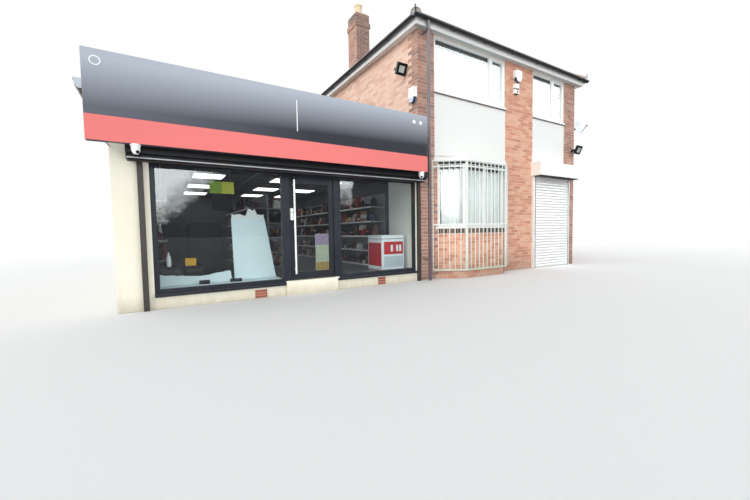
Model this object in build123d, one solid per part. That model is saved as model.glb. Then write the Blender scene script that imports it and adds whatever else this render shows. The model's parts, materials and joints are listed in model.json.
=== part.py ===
"""Corner shop: a single-storey shop built against the side of a two-storey brick house.

Millimetres, +Z up, +X to the right along the front, -Y towards the street. The origin is
on the ground where the centre line of the house's front wall crosses the centre line of
the wall that the house and the shop share.
"""
from build123d import *
import os
from math import cos, radians, sin, tan

os.makedirs("parts", exist_ok=True)

# House walls and storeys
house_wall = 280.0
house_width = 5870.0
house_depth = 7400.0
ground_floor = 150.0
upper_floor = 2850.0
upper_floor_build = 200.0
soffit_height = 5240.0
eaves_build = 150.0
ceiling_build = 60.0

# House front: three brick piers with a full-height bay of panels and windows between them
first_bay_start = 440.0
first_bay_width = 2330.0
second_bay_start = 3870.0
second_bay_width = 1475.0
spandrel_top = 4035.0
spandrel_depth = 200.0
upper_sill_depth = 45.0
upper_sill_reach = 30.0
first_light_at = 1790.0
second_light_at = 910.0

# Canted bay window with its grille
bay_start = 510.0
bay_width = 2240.0
bay_projection = 350.0
bay_cant = 35.2
bay_wall = 105.0
bay_sill = 1100.0
bay_sill_depth = 50.0
bay_sill_reach = 35.0
bay_head = 2550.0
bay_roof_depth = 130.0
grille_standoff = 80.0
grille_foot = 180.0
grille_rail = 30.0
grille_stile = 22.0
grille_bar = 16.0
grille_pitch = 125.0
grille_above_head = 35.0
grille_bar_gap = 95.0
grille_lock_rail = 1170.0

# Street entrance of the house, behind a roller shutter
entrance_head = 2480.0
entrance_box_lap = 45.0
entrance_box_width = 1865.0
entrance_box_projection = 290.0
entrance_box_height = 365.0
entrance_rail = 75.0
entrance_rail_projection = 60.0
entrance_curtain_width = 1560.0
curtain_thickness = 12.0

# Frames and glass
frame_depth = 70.0
frame_member = 60.0
frame_setback = 20.0
sash_member = 38.0
sash_lap = 12.0
sash_step = 12.0
pane = 24.0
rebate = 12.0

# Rear of the house
rear_sill = 3750.0
rear_window_width = 1400.0
rear_first_window = 700.0
rear_second_window = 3700.0
rear_lower_sill = 1050.0
rear_lower_head = 2250.0
rear_door_start = 4000.0
rear_door_width = 900.0
rear_door_height = 2050.0

# Hipped roof
roof_pitch = 30.0
roof_build = 200.0
eaves_overhang = 145.0
fascia_board = 20.0
fascia_drop = 25.0
soffit_board = 12.0
tile_overhang = 40.0
ridge_tile = 105.0
board_joint = 1.0

# Gutters and downpipes
gutter_radius = 56.0
gutter_wall = 4.0
gutter_fall = 30.0
pipe_radius = 34.0
pipe_wall = 4.0
pipe_from_corner = 105.0
pipe_foot = 20.0
clip_width = 22.0
clip_heights = (450.0, 2600.0, 5120.0)

# Chimney
stack_start = 1100.0
stack_width = 490.0
stack_from_front = 4570.0
stack_depth = 575.0
stack_top = 8350.0
band_reach = 28.0
band_height = 150.0
band_from_top = 440.0
flaunching = 75.0
pot_radius = 125.0
pot_wall = 22.0
pot_height = 300.0
pot_roll = 14.0
pot_roll_height = 45.0
flashing_gap = 5.0

# Shop shell
shop_width = 5220.0
shop_wall = 215.0
shop_floor_level = 240.0
shop_wall_height = 2950.0
deck_build = 90.0
roof_edge_reach = 320.0
roof_edge_height = 130.0
roof_edge_board = 25.0
roof_edge_chamfer = 40.0
roof_edge_trim = (10.0, 35.0)
ceiling_height = 2350.0
ceiling_board = 30.0

# Shopfront
left_window_start = 435.0
door_frame_start = 2355.0
right_window_start = 3330.0
right_window_end = 5140.0
shopfront_head = 2120.0
sill_underside = 175.0
sill_thickness = 40.0
sill_reach = 50.0
shopfront_depth = 60.0
shopfront_setback = 30.0
shopfront_member = 65.0
jamb = 75.0
step_start = 2320.0
step_width = 950.0
step_reach = 60.0
sill_end_gap = 20.0
shop_pane = 10.0

# Shop door
door_gap = 8.0
threshold_height = 8.0
leaf_thickness = 45.0
stile = 85.0
top_rail = 140.0
bottom_rail = 120.0
pull_radius = 16.0
pull_standoff = 70.0
pull_from_edge = 65.0
pull_foot = 90.0
pull_head = 70.0
lock_box_height = 200.0
lock_box_at = 1280.0
lock_box_depth = 50.0
hinge_height = 100.0
hinge_radius = 8.0
hinge_pin = 4.0
hinge_pin_clearance = 0.05
hinge_plate = 3.0
hinge_plate_width = 32.0
knuckle_joint = 0.5
hinge_stations = (420.0, 1120.0, 1820.0)

# Shop roller shutter
shutter_box_start = 200.0
shutter_box_underside = 2070.0
shutter_box_height = 300.0
shutter_box_projection = 290.0
shutter_lip_height = 62.0
shutter_lip_projection = 245.0
shutter_slot = (150.0, 185.0)
shutter_slot_depth = 45.0
end_cap = 6.0
end_cap_reach = 5.0
guide_projection = 60.0
left_guide_start = 298.0
guide_width = 70.0

# Sign
sign_overrun = 180.0
sign_right_setback = 130.0
sign_underside = 2220.0
sign_height = 1080.0
sign_depth = 100.0
sign_projection = 440.0
sign_skin = 4.0
bracket_section = 50.0
bracket_count = 5
bracket_inset = 350.0
bracket_seat = 300.0
stay_section = 12.0
stay_rise = 26.0
stay_foot = 20.0

# Shop interior
light_length = 595.0
light_width = 595.0
light_depth = 15.0
light_columns = (-3730.0, -2020.0, -910.0)
light_rows = (2740.0, 4600.0, 6440.0)
shelf_depth = 420.0
shelf_board = 25.0
shelf_back = 20.0
shelf_count = 5
shelf_unit_height = 1750.0
wall_unit_start = 1300.0
wall_unit_end = 6600.0
island_start = 2600.0
island_end = 6000.0
island_centre = 2500.0
freezer_start = 4490.0
freezer_width = 575.0
freezer_from_front = 345.0
freezer_depth = 580.0
freezer_height = 740.0
freezer_plinth = 40.0
freezer_wall = 60.0
freezer_lid = 30.0
deck_start = 480.0
display_deck_width = 1850.0
display_deck_depth = 640.0
display_deck_height = 25.0
board_start = 1590.0
board_width = 710.0
board_top_width = 570.0
board_height = 1080.0
board_thickness = 30.0
board_lean = 8.0
board_from_front = 520.0
cabinet_start = 950.0
cabinet_width = 540.0
cabinet_from_front = 1040.0
cabinet_depth = 400.0
cabinet_height = 1040.0
cabinet_corner = 55.0

# Fixtures on the walls
camera_rose = (60.0, 22.0)
camera_drum = (50.0, 78.0)
camera_eye = (28.0, 122.0)
camera_from_end = 115.0
front_alarm_size = (230.0, 275.0, 85.0)
front_alarm_at = 3195.0
front_alarm_foot = 4790.0
side_alarm_size = (185.0, 310.0, 80.0)
side_alarm_at = 130.0
side_alarm_foot = 3765.0
alarm_plate = 16.0
alarm_plate_reach = 9.0
sensor_at = 3135.0
sensor_size = (150.0, 110.0, 80.0)
sensor_neck = (60.0, 24.0)
sensor_foot = 4480.0
lamp_size = (245.0, 62.0, 240.0)
lamp_border = 18.0
lamp_recess = 10.0
lamp_tilt = 25.0
lamp_sink = (150.0, 30.0, 150.0)
yoke_strap = 5.0
yoke_width = 34.0
yoke_back = 92.0
wall_plate = (90.0, 8.0)
side_lamp_from_wall = 160.0
side_lamp_at = 360.0
side_lamp_height = 4520.0
front_lamp_from_right = 110.0
front_lamp_from_wall = 190.0
front_lamp_height = 3340.0
dish_radius = 215.0
dish_depth = 45.0
dish_thickness = 4.0
dish_from_wall = 245.0
dish_from_front = 20.0
dish_height = 4050.0
dish_turn = -8.0
dish_tilt = 25.0
dish_bracket = 14.0
dish_bracket_back = 70.0
feed_length = 260.0
feed_head = 28.0

# Datum lines worked out from the sizes above
roof_seat = soffit_height + eaves_build
front = -house_wall / 2
left = -house_wall / 2
right = left + house_width
rear = front + house_depth
inside_front = front + house_wall
inside_rear = rear - house_wall
inside_left = left + house_wall
inside_right = right - house_wall
shop_left = left - shop_width
shop_inside_left = shop_left + shop_wall
shop_inside_rear = rear - shop_wall
inside_shop = (shop_inside_left, left)
frame_face = front + shopfront_setback
frame_back = frame_face + shopfront_depth


def slab(x, y, z):
    """A square-edged solid between the low and high value given along each axis."""
    size = [high - low for low, high in (x, y, z)]
    centre = [(low + high) / 2 for low, high in (x, y, z)]
    return Pos(*centre) * Box(*size)


def span(start, length):
    """The low and high value of a stretch that starts at one place."""
    return (start, start + length)


def save(node, *solids):
    """Write the solids of one node, unfused, to its own file."""
    shape = solids[0] if len(solids) == 1 else Compound(children=list(solids))
    export_step(shape, f"parts/{node}.step")


def extruded_plan(points, z):
    """A solid that stands on a plan outline between two heights."""
    face = make_face(Polyline(*points, close=True))
    return Pos(0, 0, z[0]) * extrude(face, z[1] - z[0])


def framed_window(x, y, z, member, glass, uprights=(), opening_light=False):
    """A frame with upright bars at the given places, and the glass sheets in its rebates.

    The last light can be an opening one: its sash then laps over the frame on the outside.
    """
    frame = slab(x, y, z)
    middle = (y[0] + y[1]) / 2
    edges = [x[0] + member]
    for place in uprights:
        edges += [place - member / 2, place + member / 2]
    edges.append(x[1] - member)
    panes = []
    for low, high in zip(edges[0::2], edges[1::2]):
        inset = 0
        if opening_light and high == edges[-1]:
            inset = sash_member
            frame += slab(
                (low - sash_lap, high + sash_lap), (y[0] - sash_step, y[1]),
                (z[0] + member - sash_lap, z[1] - member + sash_lap),
            )
        sight_x = (low + inset, high - inset)
        sight_z = (z[0] + member + inset, z[1] - member - inset)
        sheet = slab(
            (sight_x[0] - rebate, sight_x[1] + rebate), (middle - glass / 2, middle + glass / 2),
            (sight_z[0] - rebate, sight_z[1] + rebate),
        )
        frame = frame - slab(sight_x, (y[0] - sash_step, y[1]), sight_z) - sheet
        panes.append(sheet)
    return frame, panes


# House walls
front_wall = slab((left, right), (front, inside_front), (0, roof_seat))
first_bay = span(left + first_bay_start, first_bay_width)
second_bay = span(left + second_bay_start, second_bay_width)
canted_bay = span(left + bay_start, bay_width)
through_front = (front, inside_front)
front_wall -= slab(canted_bay, through_front, (ground_floor, bay_head))
front_wall -= slab(first_bay, through_front, (bay_head, soffit_height))
front_wall -= slab(second_bay, through_front, (ground_floor, soffit_height))
save("house_front_wall", front_wall)
save("house_left_wall", slab((left, inside_left), (inside_front, inside_rear), (0, roof_seat)))
save("house_right_wall", slab((inside_right, right), (inside_front, inside_rear), (0, roof_seat)))

rear_windows = [
    (span(left + rear_first_window, rear_window_width), (rear_sill, soffit_height)),
    (span(left + rear_second_window, rear_window_width), (rear_sill, soffit_height)),
    (span(left + rear_first_window, rear_window_width), (rear_lower_sill, rear_lower_head)),
]
rear_doorway = span(left + rear_door_start, rear_door_width)
rear_door_z = span(ground_floor, rear_door_height)
rear_wall = slab((left, right), (inside_rear, rear), (0, roof_seat))
for window_x, window_z in rear_windows:
    rear_wall -= slab(window_x, (inside_rear, rear), window_z)
rear_wall -= slab(rear_doorway, (inside_rear, rear), rear_door_z)
save("house_rear_wall", rear_wall)

# Panels below the upper windows
panel_y = span(front, spandrel_depth)
save(
    "spandrel_panels",
    slab(first_bay, panel_y, (bay_head, spandrel_top)),
    slab(second_bay, panel_y, (entrance_head, spandrel_top)),
)

# Upper windows, each on a sill that stands out from the wall
upper_y = span(front + frame_setback, frame_depth)
window_frames = []
house_glass = []
for opening, light_at in ((first_bay, first_light_at), (second_bay, second_light_at)):
    frame, panes = framed_window(
        opening, upper_y, (spandrel_top + upper_sill_depth, soffit_height),
        frame_member, pane, (opening[0] + light_at,), opening_light=True,
    )
    sill = slab(opening, (front - upper_sill_reach, upper_y[1]), span(spandrel_top, upper_sill_depth))
    window_frames.append(frame + sill)
    house_glass += panes
rear_y = (rear - frame_setback - frame_depth, rear - frame_setback)
for window_x, window_z in rear_windows:
    middle = (window_x[0] + window_x[1]) / 2
    frame, panes = framed_window(window_x, rear_y, window_z, frame_member, pane, (middle,))
    window_frames.append(frame)
    house_glass += panes
save("house_window_frames", *window_frames)
save("house_window_glass", *house_glass)
rear_door, rear_panes = framed_window(rear_doorway, rear_y, rear_door_z, frame_member, frame_depth / 2)
save("rear_door", rear_door + rear_panes[0])

# Canted bay: plan outline for a face moved out from the bay's own face
cant = radians(bay_cant)


def bay_plan(outward):
    """The four corners of the canted outline, moved outward from the bay's face."""
    reach = bay_projection + outward
    foot = outward / sin(cant)
    corner = (cos(cant) * reach - outward) / sin(cant)
    low, high = canted_bay
    return [
        (low - foot, front), (low + corner, front - reach),
        (high - corner, front - reach), (high + foot, front),
    ]


def bay_facets(outward):
    """Start point, length and turn of the bay's three faces, from left to right."""
    points = bay_plan(outward)
    turns = (-bay_cant, 0.0, bay_cant)
    facets = []
    for start, end, turn in zip(points, points[1:], turns):
        length = ((end[0] - start[0]) ** 2 + (end[1] - start[1]) ** 2) ** 0.5
        facets.append((start, length, turn))
    return facets


def bay_ring(outward, inward, z):
    """A band that follows the canted outline between two offsets from its face."""
    return extruded_plan(bay_plan(outward), z) - extruded_plan(bay_plan(-inward), z)


save("bay_dwarf_wall", bay_ring(0, bay_wall, (0, bay_sill)))
bay_frame = bay_ring(bay_sill_reach, bay_wall, span(bay_sill, bay_sill_depth))
bay_glass = []
bay_light_z = (bay_sill + bay_sill_depth, bay_head)
for start, length, turn in bay_facets(0):
    uprights = () if turn else (length / 2,)
    frame, panes = framed_window((0, length), (0, frame_depth), bay_light_z, frame_member, pane, uprights)
    place = Pos(start[0], start[1], 0) * Rot(0, 0, turn)
    bay_frame += place * frame
    bay_glass += [place * sheet for sheet in panes]
for sheet in bay_glass:
    bay_frame -= sheet
save("bay_window_frame", bay_frame)
save("bay_window_glass", *bay_glass)
save("bay_flat_roof", extruded_plan(bay_plan(grille_standoff - grille_rail), span(bay_head, bay_roof_depth)))


def grille_panel(length):
    """Upright bars between a foot rail, a lock rail and two head rails, on the panel's own line."""
    rail_y = (-grille_rail / 2, grille_rail / 2)
    bar_y = (-grille_bar / 2, grille_bar / 2)
    panel_z = (grille_foot, bay_head + grille_above_head)
    ends = (grille_stile / 2, length - grille_stile / 2)
    panel = slab(ends, rail_y, (panel_z[1] - grille_rail, panel_z[1]))
    for height in (grille_foot, grille_lock_rail, bay_head - grille_bar_gap - grille_rail):
        panel += slab(ends, rail_y, span(height, grille_rail))
    for place in ends:
        panel += slab((place - grille_stile / 2, place + grille_stile / 2), rail_y, panel_z)
    count = round(length / grille_pitch)
    for index in range(1, count):
        place = length * index / count
        panel += slab((place - grille_bar / 2, place + grille_bar / 2), bar_y, panel_z)
    return panel


corner_inset = grille_rail * tan(cant / 2) + board_joint
before_wall = slab((left, right), (front - 2 * bay_projection, front), (0, spandrel_top))
for side, (start, length, turn) in zip(("left", "front", "right"), bay_facets(grille_standoff)):
    start_inset = 0 if side == "left" else corner_inset
    end_inset = 0 if side == "right" else corner_inset
    panel = grille_panel(length - start_inset - end_inset)
    place = Pos(start[0], start[1], 0) * Rot(0, 0, turn) * Pos(start_inset, grille_rail / 2, 0)
    save(f"grille_{side}_panel", (place * panel) & before_wall)

# Entrance shutter
entrance_box_x = span(second_bay[0] - entrance_box_lap, entrance_box_width)
entrance_box_z = span(entrance_head, entrance_box_height)
save("entrance_shutter_box", slab(entrance_box_x, (front - entrance_box_projection, front), entrance_box_z))
curtain_x = span(second_bay[0] + entrance_rail, entrance_curtain_width)
rail_y = (front - entrance_rail_projection, front)
curtain_y = (front - entrance_rail_projection / 2 - curtain_thickness, front - entrance_rail_projection / 2)
save("entrance_shutter_curtain", slab(curtain_x, curtain_y, (0, entrance_head)))
save(
    "entrance_shutter_rails",
    slab((curtain_x[0] - entrance_rail, curtain_x[0]), rail_y, (0, entrance_head)),
    slab((curtain_x[1], curtain_x[1] + entrance_rail), rail_y, (0, entrance_head)),
)

# Floors and the upper ceiling
house_room_x = (inside_left, inside_right)
house_room_y = (inside_front, inside_rear)
save(
    "house_floors",
    slab(house_room_x, house_room_y, (0, ground_floor)),
    slab(house_room_x, house_room_y, (upper_floor - upper_floor_build, upper_floor)),
    slab(house_room_x, house_room_y, span(soffit_height, ceiling_build)),
    extruded_plan(bay_plan(-bay_wall), (0, ground_floor)),
)

# Hipped roof
fascia_out = eaves_overhang + fascia_board
eaves_x = (left - fascia_out - tile_overhang, right + fascia_out + tile_overhang)
eaves_y = (front - fascia_out - tile_overhang, rear + fascia_out + tile_overhang)
rise = tan(radians(roof_pitch))


def hip_form(inset):
    """The solid under the four slopes, its foot moved in from the eaves by the inset."""
    low_x, high_x = eaves_x[0] + inset, eaves_x[1] - inset
    low_y, high_y = eaves_y[0] + inset, eaves_y[1] - inset
    run = (high_x - low_x) / 2
    peak = roof_seat + run * rise
    across = Polyline((low_x, roof_seat), (high_x, roof_seat), (low_x + run, peak), close=True)
    side_slopes = extrude(Plane.XZ * make_face(across), high_y, dir=(0, 1, 0))
    side_slopes += extrude(Plane.XZ * make_face(across), -low_y, dir=(0, -1, 0))
    along = Polyline(
        (low_y, roof_seat), (high_y, roof_seat), (high_y - run, peak), (low_y + run, peak), close=True
    )
    end_slopes = extrude(Plane.YZ * make_face(along), high_x, dir=(1, 0, 0))
    end_slopes += extrude(Plane.YZ * make_face(along), -low_x, dir=(-1, 0, 0))
    return side_slopes & end_slopes


stack_x = span(left + stack_start, stack_width)
stack_y = span(front + stack_from_front, stack_depth)
roof_outer = hip_form(0)
roof_inner = hip_form(roof_build / sin(radians(roof_pitch)))
stack_hole = slab(
    (stack_x[0] - flashing_gap, stack_x[1] + flashing_gap),
    (stack_y[0] - flashing_gap, stack_y[1] + flashing_gap),
    (roof_seat, stack_top),
)
roof_shell = roof_outer - roof_inner - stack_hole
roof_run = (eaves_x[1] - eaves_x[0]) / 2
joint_height = 2 * roof_run * rise
for corner_x, inward_x in zip(eaves_x, (1, -1)):
    for corner_y, inward_y in zip(eaves_y, (1, -1)):
        middle = (corner_x + inward_x * roof_run / 2, corner_y + inward_y * roof_run / 2)
        hip_joint = Box(roof_run * 2 ** 0.5 + board_joint, board_joint, joint_height)
        roof_shell -= Pos(*middle, roof_seat) * Rot(0, 0, 45 * inward_x * inward_y) * hip_joint
ridge_joint_x = (eaves_x[0] + roof_run - board_joint / 2, eaves_x[0] + roof_run + board_joint / 2)
ridge_joint_y = (eaves_y[0] + roof_run, eaves_y[1] - roof_run)
roof_shell -= slab(ridge_joint_x, ridge_joint_y, span(roof_seat, joint_height))
save("house_roof", *roof_shell.solids())

# Ridge and hip tiles lie over the joints between the slopes
roof_peak = roof_seat + roof_run * rise
ridge_x = (eaves_x[0] + eaves_x[1]) / 2
ridge_ends = [(ridge_x, eaves_y[0] + roof_run, roof_peak), (ridge_x, eaves_y[1] - roof_run, roof_peak)]
tile_lines = [tuple(ridge_ends)]
for ridge_end, eaves_line in zip(ridge_ends, eaves_y):
    for corner_x in eaves_x:
        tile_lines.append(((corner_x, eaves_line, roof_seat), ridge_end))


def round_bar(start, end, radius):
    """A round bar between two points."""
    direction = Vector(*end) - Vector(*start)
    return Plane(origin=start, z_dir=direction) * extrude(Circle(radius), direction.length)


ridge_tiles = round_bar(*tile_lines[0], ridge_tile)
for start, end in tile_lines[1:]:
    ridge_tiles += round_bar(start, end, ridge_tile)
ridge_tiles += Pos(*ridge_ends[0]) * Sphere(ridge_tile)
ridge_tiles += Pos(*ridge_ends[1]) * Sphere(ridge_tile)
above_roof = slab(eaves_x, eaves_y, (roof_seat, roof_peak + 2 * ridge_tile))
save("ridge_tiles", (ridge_tiles & above_roof) - roof_outer)

# Soffit and fascia boards: one length a side, the side lengths between the front and rear ones
fascia_x = (left - fascia_out, right + fascia_out)
fascia_y = (front - fascia_out, rear + fascia_out)
fascia_z = (soffit_height - fascia_drop, roof_seat)
soffit_z = span(soffit_height, soffit_board)
between_x = (fascia_x[0] + fascia_board + board_joint, fascia_x[1] - fascia_board - board_joint)
between_y = (fascia_y[0] + fascia_board + board_joint, fascia_y[1] - fascia_board - board_joint)
side_soffit_y = (front + board_joint, rear - board_joint)
save(
    "eaves_boards",
    slab(fascia_x, span(fascia_y[0], fascia_board), fascia_z)
    + slab(between_x, (fascia_y[0], front), soffit_z),
    slab(fascia_x, (fascia_y[1] - fascia_board, fascia_y[1]), fascia_z)
    + slab(between_x, (rear, fascia_y[1]), soffit_z),
    slab(span(fascia_x[0], fascia_board), between_y, fascia_z)
    + slab((fascia_x[0], left), side_soffit_y, soffit_z),
    slab((fascia_x[1] - fascia_board, fascia_x[1]), between_y, fascia_z)
    + slab((right, fascia_x[1]), side_soffit_y, soffit_z),
)

# Gutters: half-round channels on the fascia
gutter_top = roof_seat - gutter_fall


def channel(centre, length, turn):
    """A half-round channel with closed ends, centred on its top line."""
    outer = Rot(0, 90, 0) * Cylinder(gutter_radius, length)
    bore = Rot(0, 90, 0) * Cylinder(gutter_radius - gutter_wall, length - 2 * gutter_wall)
    half = slab((-length / 2, length / 2), (-gutter_radius, gutter_radius), (-gutter_radius, 0))
    return Pos(*centre, gutter_top) * Rot(0, 0, turn) * ((outer - bore) & half)


gutter_x = (fascia_x[0] - gutter_radius, fascia_x[1] + gutter_radius)
gutter_y = (fascia_y[0] - gutter_radius, fascia_y[1] + gutter_radius)
long_gutter = fascia_x[1] - fascia_x[0] + 4 * gutter_radius
side_gutter = fascia_y[1] - fascia_y[0] - 2 * board_joint
middle_x = (fascia_x[0] + fascia_x[1]) / 2
middle_y = (fascia_y[0] + fascia_y[1]) / 2
save(
    "gutters",
    channel((middle_x, gutter_y[0]), long_gutter, 0),
    channel((middle_x, gutter_y[1]), long_gutter, 0),
    channel((gutter_x[0], middle_y), side_gutter, 90),
    channel((gutter_x[1], middle_y), side_gutter, 90),
)


def downpipe(x, y, wall_y):
    """A pipe under the gutter with clips that reach back to the wall."""
    height = gutter_top - gutter_radius - pipe_foot
    base = Pos(x, y, pipe_foot)
    pipe = base * extrude(Circle(pipe_radius), height)
    for clip_height in clip_heights:
        clip_z = span(clip_height, clip_width)
        collar_x, collar_y = ((at - pipe_radius - pipe_wall, at + pipe_radius + pipe_wall) for at in (x, y))
        arm_x, arm_y = (x - clip_width / 2, x + clip_width / 2), (min(y, wall_y), max(y, wall_y))
        pipe += slab(collar_x, collar_y, clip_z) + slab(arm_x, arm_y, clip_z)
    return pipe - base * extrude(Circle(pipe_radius - pipe_wall), height)


save(
    "downpipes",
    downpipe(left + pipe_from_corner, gutter_y[0], front),
    downpipe(right - pipe_from_corner, gutter_y[1], rear),
)

# Chimney
stack_foot = soffit_height + ceiling_build
chimney = slab(stack_x, stack_y, (stack_foot, stack_top))
chimney += slab(
    (stack_x[0] - band_reach, stack_x[1] + band_reach),
    (stack_y[0] - band_reach, stack_y[1] + band_reach),
    span(stack_top - band_from_top, band_height),
)
stack_centre = ((stack_x[0] + stack_x[1]) / 2, (stack_y[0] + stack_y[1]) / 2)
mortar_cap = extrude(Rectangle(stack_width, stack_depth), flaunching, taper=45)
save("chimney_stack", chimney + Pos(*stack_centre, stack_top) * mortar_cap)
pot = extrude(Circle(pot_radius), pot_height)
pot += Pos(0, 0, pot_height - pot_roll_height) * extrude(Circle(pot_radius + pot_roll), pot_roll_height)
pot -= extrude(Circle(pot_radius - pot_wall), pot_height)
save("chimney_pot", Pos(*stack_centre, stack_top + flaunching) * pot)

# Shop walls
shop_rear_y = (shop_inside_rear, rear)
shop_left_y = (inside_front, shop_inside_rear)
save("shop_left_wall", slab((shop_left, shop_inside_left), shop_left_y, (0, shop_wall_height)))
save("shop_rear_wall", slab((shop_left, left), shop_rear_y, (0, shop_wall_height)))
left_frame_x = (shop_left + left_window_start, shop_left + door_frame_start)
door_frame_x = (shop_left + door_frame_start, shop_left + right_window_start)
right_frame_x = (shop_left + right_window_start, shop_left + right_window_end)
save(
    "shop_front_piers",
    slab((shop_left, left_frame_x[0]), through_front, (0, shop_wall_height)),
    slab((right_frame_x[1], left), through_front, (0, shop_wall_height)),
)
shopfront_x = (left_frame_x[0], right_frame_x[1])
save("shop_front_beam", slab(shopfront_x, through_front, (shopfront_head, shop_wall_height)))
plinth = slab(shopfront_x, through_front, (0, sill_underside))
step_x = span(shop_left + step_start, step_width)
plinth += slab(door_frame_x, through_front, (0, shop_floor_level))
plinth += slab(step_x, (front - step_reach, front), (0, shop_floor_level))
save("shop_plinth", plinth)
save("shop_floor", slab(inside_shop, (inside_front, shop_inside_rear), (0, shop_floor_level)))
save("shop_ceiling", slab(inside_shop, (inside_front, shop_inside_rear), span(ceiling_height, ceiling_board)))

# Flat roof, its left overhang boxed in with boards
edge_x = (shop_left - roof_edge_reach, shop_left)
edge_z = span(shop_wall_height, roof_edge_height)
deck_top = shop_wall_height + deck_build
overhang_x = (edge_x[0] + roof_edge_board, shop_left)
overhang_y = (front + roof_edge_board, rear - roof_edge_board)
overhang_foot = edge_z[0] + roof_edge_board
save(
    "shop_roof",
    slab((shop_left, left), (front, rear), (shop_wall_height, deck_top))
    + slab(overhang_x, overhang_y, (overhang_foot, deck_top)),
)
edge_outline = [
    (edge_x[0] + roof_edge_chamfer, edge_z[0]), (edge_x[1], edge_z[0]), (edge_x[1], edge_z[1]),
    (edge_x[0], edge_z[1]), (edge_x[0], edge_z[0] + roof_edge_chamfer),
]
edge_face = Plane.XZ * make_face(Polyline(*edge_outline, close=True))
roof_edge = Pos(0, front, 0) * extrude(edge_face, rear - front, dir=(0, 1, 0))
roof_edge -= slab(overhang_x, overhang_y, (overhang_foot, edge_z[1]))
roof_edge += slab(
    (edge_x[0] - roof_edge_trim[0], edge_x[0]), (front, rear), (edge_z[1] - roof_edge_trim[1], edge_z[1])
)
save("shop_roof_edge", roof_edge)

# Shopfront
sill_z = span(sill_underside, sill_thickness)
nose_y = (front - sill_reach, front)
save(
    "window_sills",
    slab(left_frame_x, through_front, sill_z)
    + slab((left_frame_x[0], step_x[0]), nose_y, sill_z),
    slab(right_frame_x, through_front, sill_z)
    + slab((step_x[1] + sill_end_gap, right_frame_x[1] - sill_end_gap), nose_y, sill_z),
)
frame_y = (frame_face, frame_back)
frame_z = (sill_z[1], shopfront_head)
left_frame, left_panes = framed_window(left_frame_x, frame_y, frame_z, shopfront_member, shop_pane)
right_frame, right_panes = framed_window(right_frame_x, frame_y, frame_z, shopfront_member, shop_pane)
save("shop_window_frames", left_frame, right_frame)
save("shop_window_glass", *left_panes, *right_panes)

doorway_x = (door_frame_x[0] + jamb, door_frame_x[1] - jamb)
doorway_head = shopfront_head - shopfront_member
door_frame = slab(door_frame_x, frame_y, (shop_floor_level, shopfront_head))
door_frame -= slab(doorway_x, frame_y, (shop_floor_level + threshold_height, doorway_head))
save("door_frame", door_frame)

leaf_x = (doorway_x[0] + door_gap, doorway_x[1] - door_gap)
leaf_y = (frame_back - leaf_thickness, frame_back)
leaf_z = (shop_floor_level + threshold_height + door_gap, doorway_head - door_gap)
glass_x = (leaf_x[0] + stile, leaf_x[1] - stile)
glass_z = (leaf_z[0] + bottom_rail, leaf_z[1] - top_rail)
leaf_middle = (leaf_y[0] + leaf_y[1]) / 2
door_glass = slab(
    (glass_x[0] - rebate, glass_x[1] + rebate),
    (leaf_middle - shop_pane / 2, leaf_middle + shop_pane / 2),
    (glass_z[0] - rebate, glass_z[1] + rebate),
)
save("door_leaf", slab(leaf_x, leaf_y, leaf_z) - slab(glass_x, leaf_y, glass_z) - door_glass)
save("door_glass", door_glass)

pull_x = leaf_x[0] + pull_from_edge
pull_y = leaf_y[0] - pull_standoff
pull_z = (leaf_z[0] + pull_foot, leaf_z[1] - pull_head)
pull = Pos(pull_x, pull_y, pull_z[0]) * extrude(Circle(pull_radius), pull_z[1] - pull_z[0])
for height in (pull_z[0] + pull_foot, (pull_z[0] + pull_z[1]) / 2, pull_z[1] - pull_foot):
    pull += round_bar((pull_x, pull_y, height), (pull_x, leaf_y[0], height), pull_radius / 2)
save("door_pull_bar", pull)
lock_box_x = (leaf_x[0], pull_x - pull_radius - knuckle_joint)
lock_box_y = (leaf_y[0] - lock_box_depth, leaf_y[0])
save("door_lock_box", slab(lock_box_x, lock_box_y, span(lock_box_at, lock_box_height)))

# Door hinges: the pin and outer knuckles on the frame, the middle knuckle on the leaf
hinge_x = doorway_x[1] - door_gap / 2
hinge_y = frame_back + hinge_radius + hinge_plate / 2
knuckle = hinge_height / 3
plate_y = span(frame_back, hinge_plate)
plate_clear = hinge_radius + 2 * knuckle_joint
frame_hinges = []
leaf_hinges = []
for station in hinge_stations:
    foot = Pos(hinge_x, hinge_y, station)
    station_z = span(station, hinge_height)
    fixed = slab(span(hinge_x + plate_clear, hinge_plate_width), plate_y, station_z)
    for level in (0, 2 * knuckle):
        fixed += foot * Pos(0, 0, level) * extrude(Circle(hinge_radius), knuckle)
        fixed += slab((hinge_x, hinge_x + plate_clear), plate_y, span(station + level, knuckle))
    pin = foot * extrude(Circle(hinge_pin), hinge_height)
    frame_hinges.append(fixed + pin)
    middle_z = (station + knuckle + knuckle_joint, station + 2 * knuckle - knuckle_joint)
    barrel = Pos(hinge_x, hinge_y, middle_z[0]) * extrude(Circle(hinge_radius), middle_z[1] - middle_z[0])
    barrel += slab((hinge_x - plate_clear, hinge_x), plate_y, middle_z)
    leaf_plate_x = (hinge_x - plate_clear - hinge_plate_width, hinge_x - plate_clear)
    barrel += slab(leaf_plate_x, plate_y, station_z)
    leaf_hinges.append(barrel - foot * extrude(Circle(hinge_pin + hinge_pin_clearance), hinge_height))
save("door_frame_hinges", *frame_hinges)
save("door_leaf_hinges", *leaf_hinges)

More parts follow.
